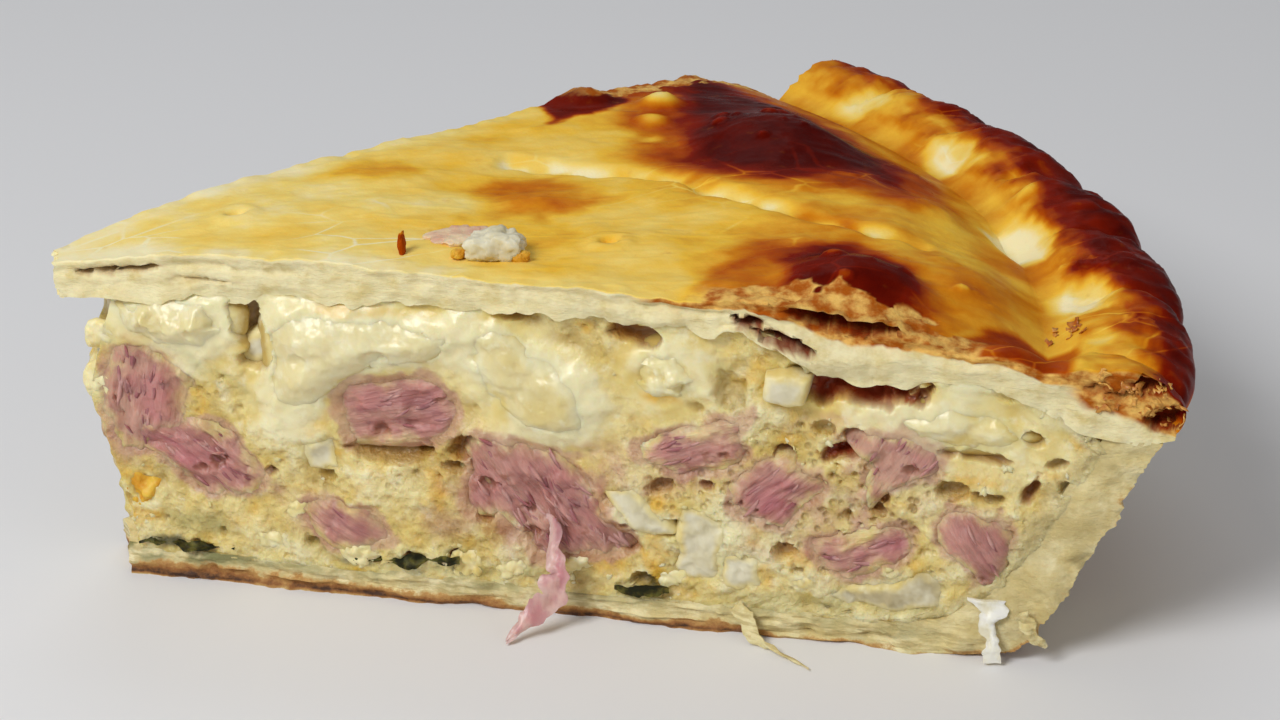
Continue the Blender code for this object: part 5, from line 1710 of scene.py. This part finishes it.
# Where the oven browned it: more on what stands up, less in valleys and under the thumb marks.
# outline as radius and angle, amount, how far its edge fades in and out in mm
browned_patches = (
    (((106, -21.6), (110.5, -20.4), (115, -22), (120, -25), (121, -28), (106, -28)), 0.30, -1.2, 1.8),
    ((
        (48.7, 2.4), (53.5, 9), (60.6, 6.8), (65.6, 1.7), (66.6, -2.4), (60, -7.1), (51.5, -5.8)
    ), 0.24, -2.0, 4.5),
    (((34.4, 18.1), (39.7, 22), (43.6, 19), (45.7, 14.4), (39.1, 13.7)), 0.16, -2.5, 3.0),
    ((
        (74.9, -19.6), (78.9, -15.5), (83.2, -13.7), (93, -13), (100, -17), (104, -24), (104, -29),
        (80, -29), (75, -25)
    ), 0.22, -1.6, 2.6),
    ((
        (84.2, -18.2), (87.9, -15), (92.7, -14.6), (98.2, -18.4), (100.4, -23.4), (101.5, -29), (96, -29),
        (88.8, -28), (84.7, -24)
    ), 0.34, -2.0, 2.4),
    ((
        (73.6, 6), (79.5, 0.9), (86.5, -2.4), (93.6, -3.4), (100.9, -5.9), (105.3, -3.8), (109, -2.6),
        (110, 3), (108, 12), (103, 20), (96, 28), (86, 28), (77, 18)
    ), 0.24, -2.5, 3.0),
    ((
        (78.3, 6.7), (82.6, 2.2), (87.1, -0.8), (92.7, 1.2), (99.1, 2), (103, -0.4), (104, 5), (104, 12),
        (101, 18), (96, 23), (90, 21), (84, 15)
    ), 0.35, -2.4, 3.0),
    (((69, 21.6), (72, 28.5), (82, 28.5), (81.4, 23.6), (75, 20.4)), 0.56, -1.0, 1.2),
    (((99, -11.5), (104, -13.2), (108, -18), (110, -21), (105, -22.8), (101.5, -18)), 0.10, -2.0, 3.0),
    (((92, 22), (103, 20), (110, 14), (112, 22), (100, 26), (90, 26)), 0.20, -3.0, 3.0),
)
tone = 0.15 + 0.13 * step_up(22, 62, radius_lid) + 0.10 * step_up(66, 90, radius_lid)
for outline, amount, low, high in browned_patches:
    uneven = 1.3 * crumble(x_mm / 7, y_mm / 5, outline[0][0], 5, 151)
    tone = tone + amount * step_up(low, high, outline_reach(x_mm, y_mm, on_plan(outline)) + uneven)
tone = tone + 0.08 * crumble(x_mm / 8, y_mm / 6, 0, 4, 152) + 0.02 * ridges
tone = tone - (0.16 + 0.24 * softness(x_mm / 2.4, y_mm / 2.4, 0, 131)) * in_valley
tone = (
    tone - 0.12 * (1 - step_up(0, 5, from_cut)) * (1 - step_up(60, 80, radius_lid))
    - 0.2 * step_up(0.15, 0.45, pearls)
)
pale_spots = ((85, 20.5, 3.2, 0.42), (80.5, 17, 2.6, 0.3), (77.5, 13, 2.2, 0.2), (112, -12, 3.5, 0.16))
for where_r, where_a, size, amount in pale_spots:
    dx, dy = flat_offset(radius_lid, angle, where_r, where_a)
    tone = tone - amount * mound(np.minimum(np.hypot(dx, dy) / size, 1))
# angle and radius of the line past which the rope is dark
crest_line = (
    (-30, 125), (-23.7, 125), (-19.4, 124.2), (-14.8, 123.7), (-11, 120.5), (-4.2, 119.3), (1.8, 122.6),
    (8, 123.7),
    (13.8, 124.8), (19.4, 125.2), (30, 125.4),
)
past_crest = rope_r - np.interp(angle, *zip(*crest_line)) + 6 * step_up(0.5, 0.75, rope_run)
past_crest = past_crest + 2.2 * crumble(angle / 3.2, rope_run * 5, 0, 4, 153) + 2.2 * own
rope_tone = (
    0.47 + 0.34 * step_up(-4.2, 2.8, past_crest) + 0.10 * step_up(1.5, 6, past_crest) + 0.06 * own
    - 0.10 * notch
)
rope_tone = (
    rope_tone - 0.22 * pleats * step_up(1, -3, past_crest)
    + 0.10 * crumble(angle / 1.3, rope_run * 6, 0, 3, 154)
)
rope_tone = rope_tone - 0.34 * step_up(0.85, 1.0, rope_run)
rope_join = step_up(0.0, 0.14, rope_run)
lid_tone = tone + 0.06 * step_up(104, 112, radius_lid)
tone = np.where(on_rope, tone * (1 - rope_join) + rope_tone * rope_join, lid_tone) - 0.42 * pale_dent
cut_mask = np.where(on_cut, 1 - step_up(0.90, 1.0, rise), 0.0)
under_mask = (rise < 0.01) * 1.0
at_rope_end = step_up(117, 121, radius) * step_up(0.3, 0.6, rise) * on_cut
at_foot = (
    ~on_cut * (rise > 0.999)
    * mound(np.minimum(np.hypot(*flat_offset(radius, angle, 116.5, -19.4)) / 4.4, 1))
)
torn_rim = on_cut * (rise > 0.93) * step_up(72, 84, radius) * (1 - step_up(104, 109, radius))
rim = 1.2 * step_up(0.62, 0.86, rise + 0.14 * mound((radius - 92) / 16)) * step_up(64, 78, radius)
rim = rim + 1.1 * step_up(114, 122, radius) * step_up(0.2, 0.6, rise)
top_crust_marks = {
    "loose": np.clip(0.5 * at_rope_end + 0.5 * at_foot, 0, 1),
    "browned": np.clip(tone, 0, 1),
    "cut": np.maximum(cut_mask, under_mask),
    "flaked": flaked * (~on_cut) * (rise > 0.9) + torn_rim,
    "hollow": dark,
    "rim": np.where(on_cut, rim, 0.0),
}


def crust_colour(start):
    fine = start.noise(start.place(), 330, 6, 0.62) - 0.5
    streaks = start.noise(start.place((0.35, 1, 1), (0, 0, 0.5)), 420, 4, 0.6, 1.2) - 0.5
    veins = start.node(
        "ShaderNodeTexVoronoi", {"feature": "DISTANCE_TO_EDGE"},
        {"Vector": start.place((0.5, 1, 1), (0, 0, 0.4)), "Scale": 190.0},
    ).between(0.0, 0.035, 1.0, 0.0)
    tone = start.mark("browned") + fine * 0.17 + streaks * 0.04
    tone = tone - veins * start.noise(start.place(), 60, 2).between(0.5, 0.7) * 0.16
    baked = start.node(
        "ShaderNodeValToRGB",
        {
            "stops": (
                (0.0, shade(244, 232, 184)), (0.15, shade(243, 214, 118)), (0.32, shade(240, 190, 62)),
                (0.48, shade(212, 132, 22)), (0.62, shade(176, 76, 6)), (0.76, shade(124, 24, 3)),
                (1.0, shade(74, 6, 2)),
            )
        },
        {"Fac": tone},
    )
    grain = start.noise(start.place((1, 1, 1.4)), 420, 5)
    golden = start.blend(shade(240, 192, 104), shade(172, 88, 20), grain.between(0.34, 0.64))
    torn = dough(start).towards(shade(246, 236, 192), grain.between(0.3, 0.6) * 0.5)
    torn = torn.towards(
        golden, (start.mark("rim") * 1.5 + start.noise(start.place(), 240, 3) - 0.75).between(0.0, 0.6)
    )
    # Painted shade, dark red-brown, in the gaps between the sheets of dough.
    torn = torn.towards(shade(126, 34, 12), start.mark("hollow") * 0.92)
    baked = baked.towards(golden, (start.mark("flaked") * 1.3 + grain - 0.6).between(0.0, 0.5))
    return baked.towards(torn, start.mark("cut").between(0.15, 0.75))


def crust_gloss(start):
    dull = start.noise(start.place(), 240, 4).between(0.3, 0.7, 0.30, 0.44)
    return dull + start.mark("cut") * 0.26 - start.mark("browned") * 0.06


def crust_wash(start):
    """Beaten egg, brushed on before baking, lies thicker in some places."""
    return (1 - start.mark("cut")) * start.noise(start.place(), 120, 3).between(0.35, 0.7, 0.01, 0.07)


def crust_bumps(start):
    wrinkles = start.noise(start.place((0.6, 1, 1), (0, 0, 0.45)), 330, 5, 0.6, 1.2)
    grain = start.noise(start.place(), 1300, 4)
    crumb = start.noise(start.place((1, 1, 2.5)), 800, 5, 0.65)
    on_skin = (1 - start.mark("cut")) * (wrinkles * 0.45 + grain * 0.3)
    rough = (start.mark("cut") + start.mark("flaked")).kept()
    return start.bump(on_skin * 0.7 + rough * crumb * 1.8, 0.4, 0.0006)


crust_finish = food_finish(
    "baked_top_crust", crust_colour, crust_gloss, crust_bumps, 0.12, (0.0016, 0.0008, 0.0004), crust_wash,
    0.012
)
top_crust = food_piece(
    "top_crust_detail", wedge_points(radius, across, height, out), quads, crust_finish, top_crust_marks
)
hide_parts("top_crust")

# FLAKES ON THE TORN PASTRY
# Splinters of browned and pale pastry that stand off the torn end of the rope and its foot.
# The knife left them hanging by one end, each bent and turned its own way.


def flake_shape(plate):
    bend = 0.22 * plate[:, 0] ** 2 + 0.1 * plate[:, 1]
    ragged = 1 + 0.35 * softness(plate[:, 0] * 2, plate[:, 1] * 2, 0, 171)
    return np.stack([plate[:, 0] * 0.5 * ragged, plate[:, 1] * 0.3 * ragged, plate[:, 2] * 0.045 + bend], -1)


pastry_flake = template_of("pastry_flake", block_skin(4, 3, 1), flake_shape)


def golden_colour(start):
    return start.blend(
        shade(232, 176, 84), shade(176, 92, 26), start.noise(start.place(), 240, 3).between(0.36, 0.62)
    )


golden_finish = food_finish("golden_flake", golden_colour, 0.42, None, 0.1)
flakes = scattered(
    "pastry_flakes", faces_of(top_crust, "loose"), pastry_flake, golden_finish, 0.8, 0.4, 1.5, 0.2, 5
)
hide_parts("top_crust")

# CRUMBS ON THE LID
# A lump of egg white with yolk on it, a slip of ham beside it, and a curl of browned pastry on its end.
# They fell there when the slice was cut, and lie fused to the lid, a little way into its skin.


def lid_place(radius, angle):
    """Height of the lid's skin in mm at one place."""
    swell = 0.0
    for where_r, where_a, length, width, tall in blisters:
        dx, dy = flat_offset(radius, angle, where_r, where_a)
        swell += tall * float(mound(min(math.hypot(dx / length, dy / width), 1)))
    return float(lid_height(radius)) + swell


SUNK = 0.28
NO_CUT = {"cut": 0.0, "hollow": 0.0, "rim": 0.0}


def crumb_lump(name, where, size, turn, rough, finish, seed, marks=()):
    """An uneven lump on the lid at a radius and angle, with its size in mm."""
    shares, quads = block_skin(28, 28, 16)
    cube = shares * 2 - 1
    ball = cube / (np.abs(cube) ** 3).sum(1, keepdims=True) ** (1 / 3)
    body = ball * np.array(size) / 2
    swell = 1 + rough * crumble(*(body.T / 1.6 + seed), 4, 161) * 0.5
    body = body * swell[:, None]
    lean = math.radians(turn)
    x = body[:, 0] * math.cos(lean) - body[:, 1] * math.sin(lean)
    y = body[:, 0] * math.sin(lean) + body[:, 1] * math.cos(lean)
    middle = wedge_points(
        np.float64(where[0]), np.float64(where[1] / HALF_DEGREES), np.float64(lid_place(*where))
    )
    points = middle + np.stack([x, y, body[:, 2] + size[2] * SUNK], -1) * MM
    piece = food_piece(name, points, quads, finish, marks)
    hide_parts("top_crust")
    return piece


crumb_lump(
    "lid_egg_crumb", (51.6, -18.8), (6.6, 5.4, 3.4), -10, 0.42, white_finish, 3.0,
    {"edge": 0.15}
)
crumb_lump("lid_yolk_crumb_1", (47.6, -20.6), (2.2, 1.6, 1.2), 20, 0.7, yolk_finish, 5.0)
crumb_lump("lid_yolk_crumb_2", (54.6, -20.4), (2.6, 1.4, 1.4), -20, 0.7, yolk_finish, 7.0)
crumb_lump("lid_ham_crumb", (46.8, -13.8), (6.6, 5.0, 0.9), 18, 0.45, scrap_finish, 9.0)
crumb_lump(
    "lid_pastry_curl", (41.0, -20.6), (0.8, 1.5, 4.0), -30, 0.6, crust_finish, 11.0,
    {"browned": 0.66, **NO_CUT}
)
crumb_lump(
    "lid_pastry_crumb_1", (52.2, -14.6), (3.4, 1.5, 0.8), 35, 0.6, crust_finish, 13.0,
    {"browned": 0.56, **NO_CUT}
)

for template in (curd_crumb, ham_fibre, pastry_flake):
    bpy.data.objects.remove(template)
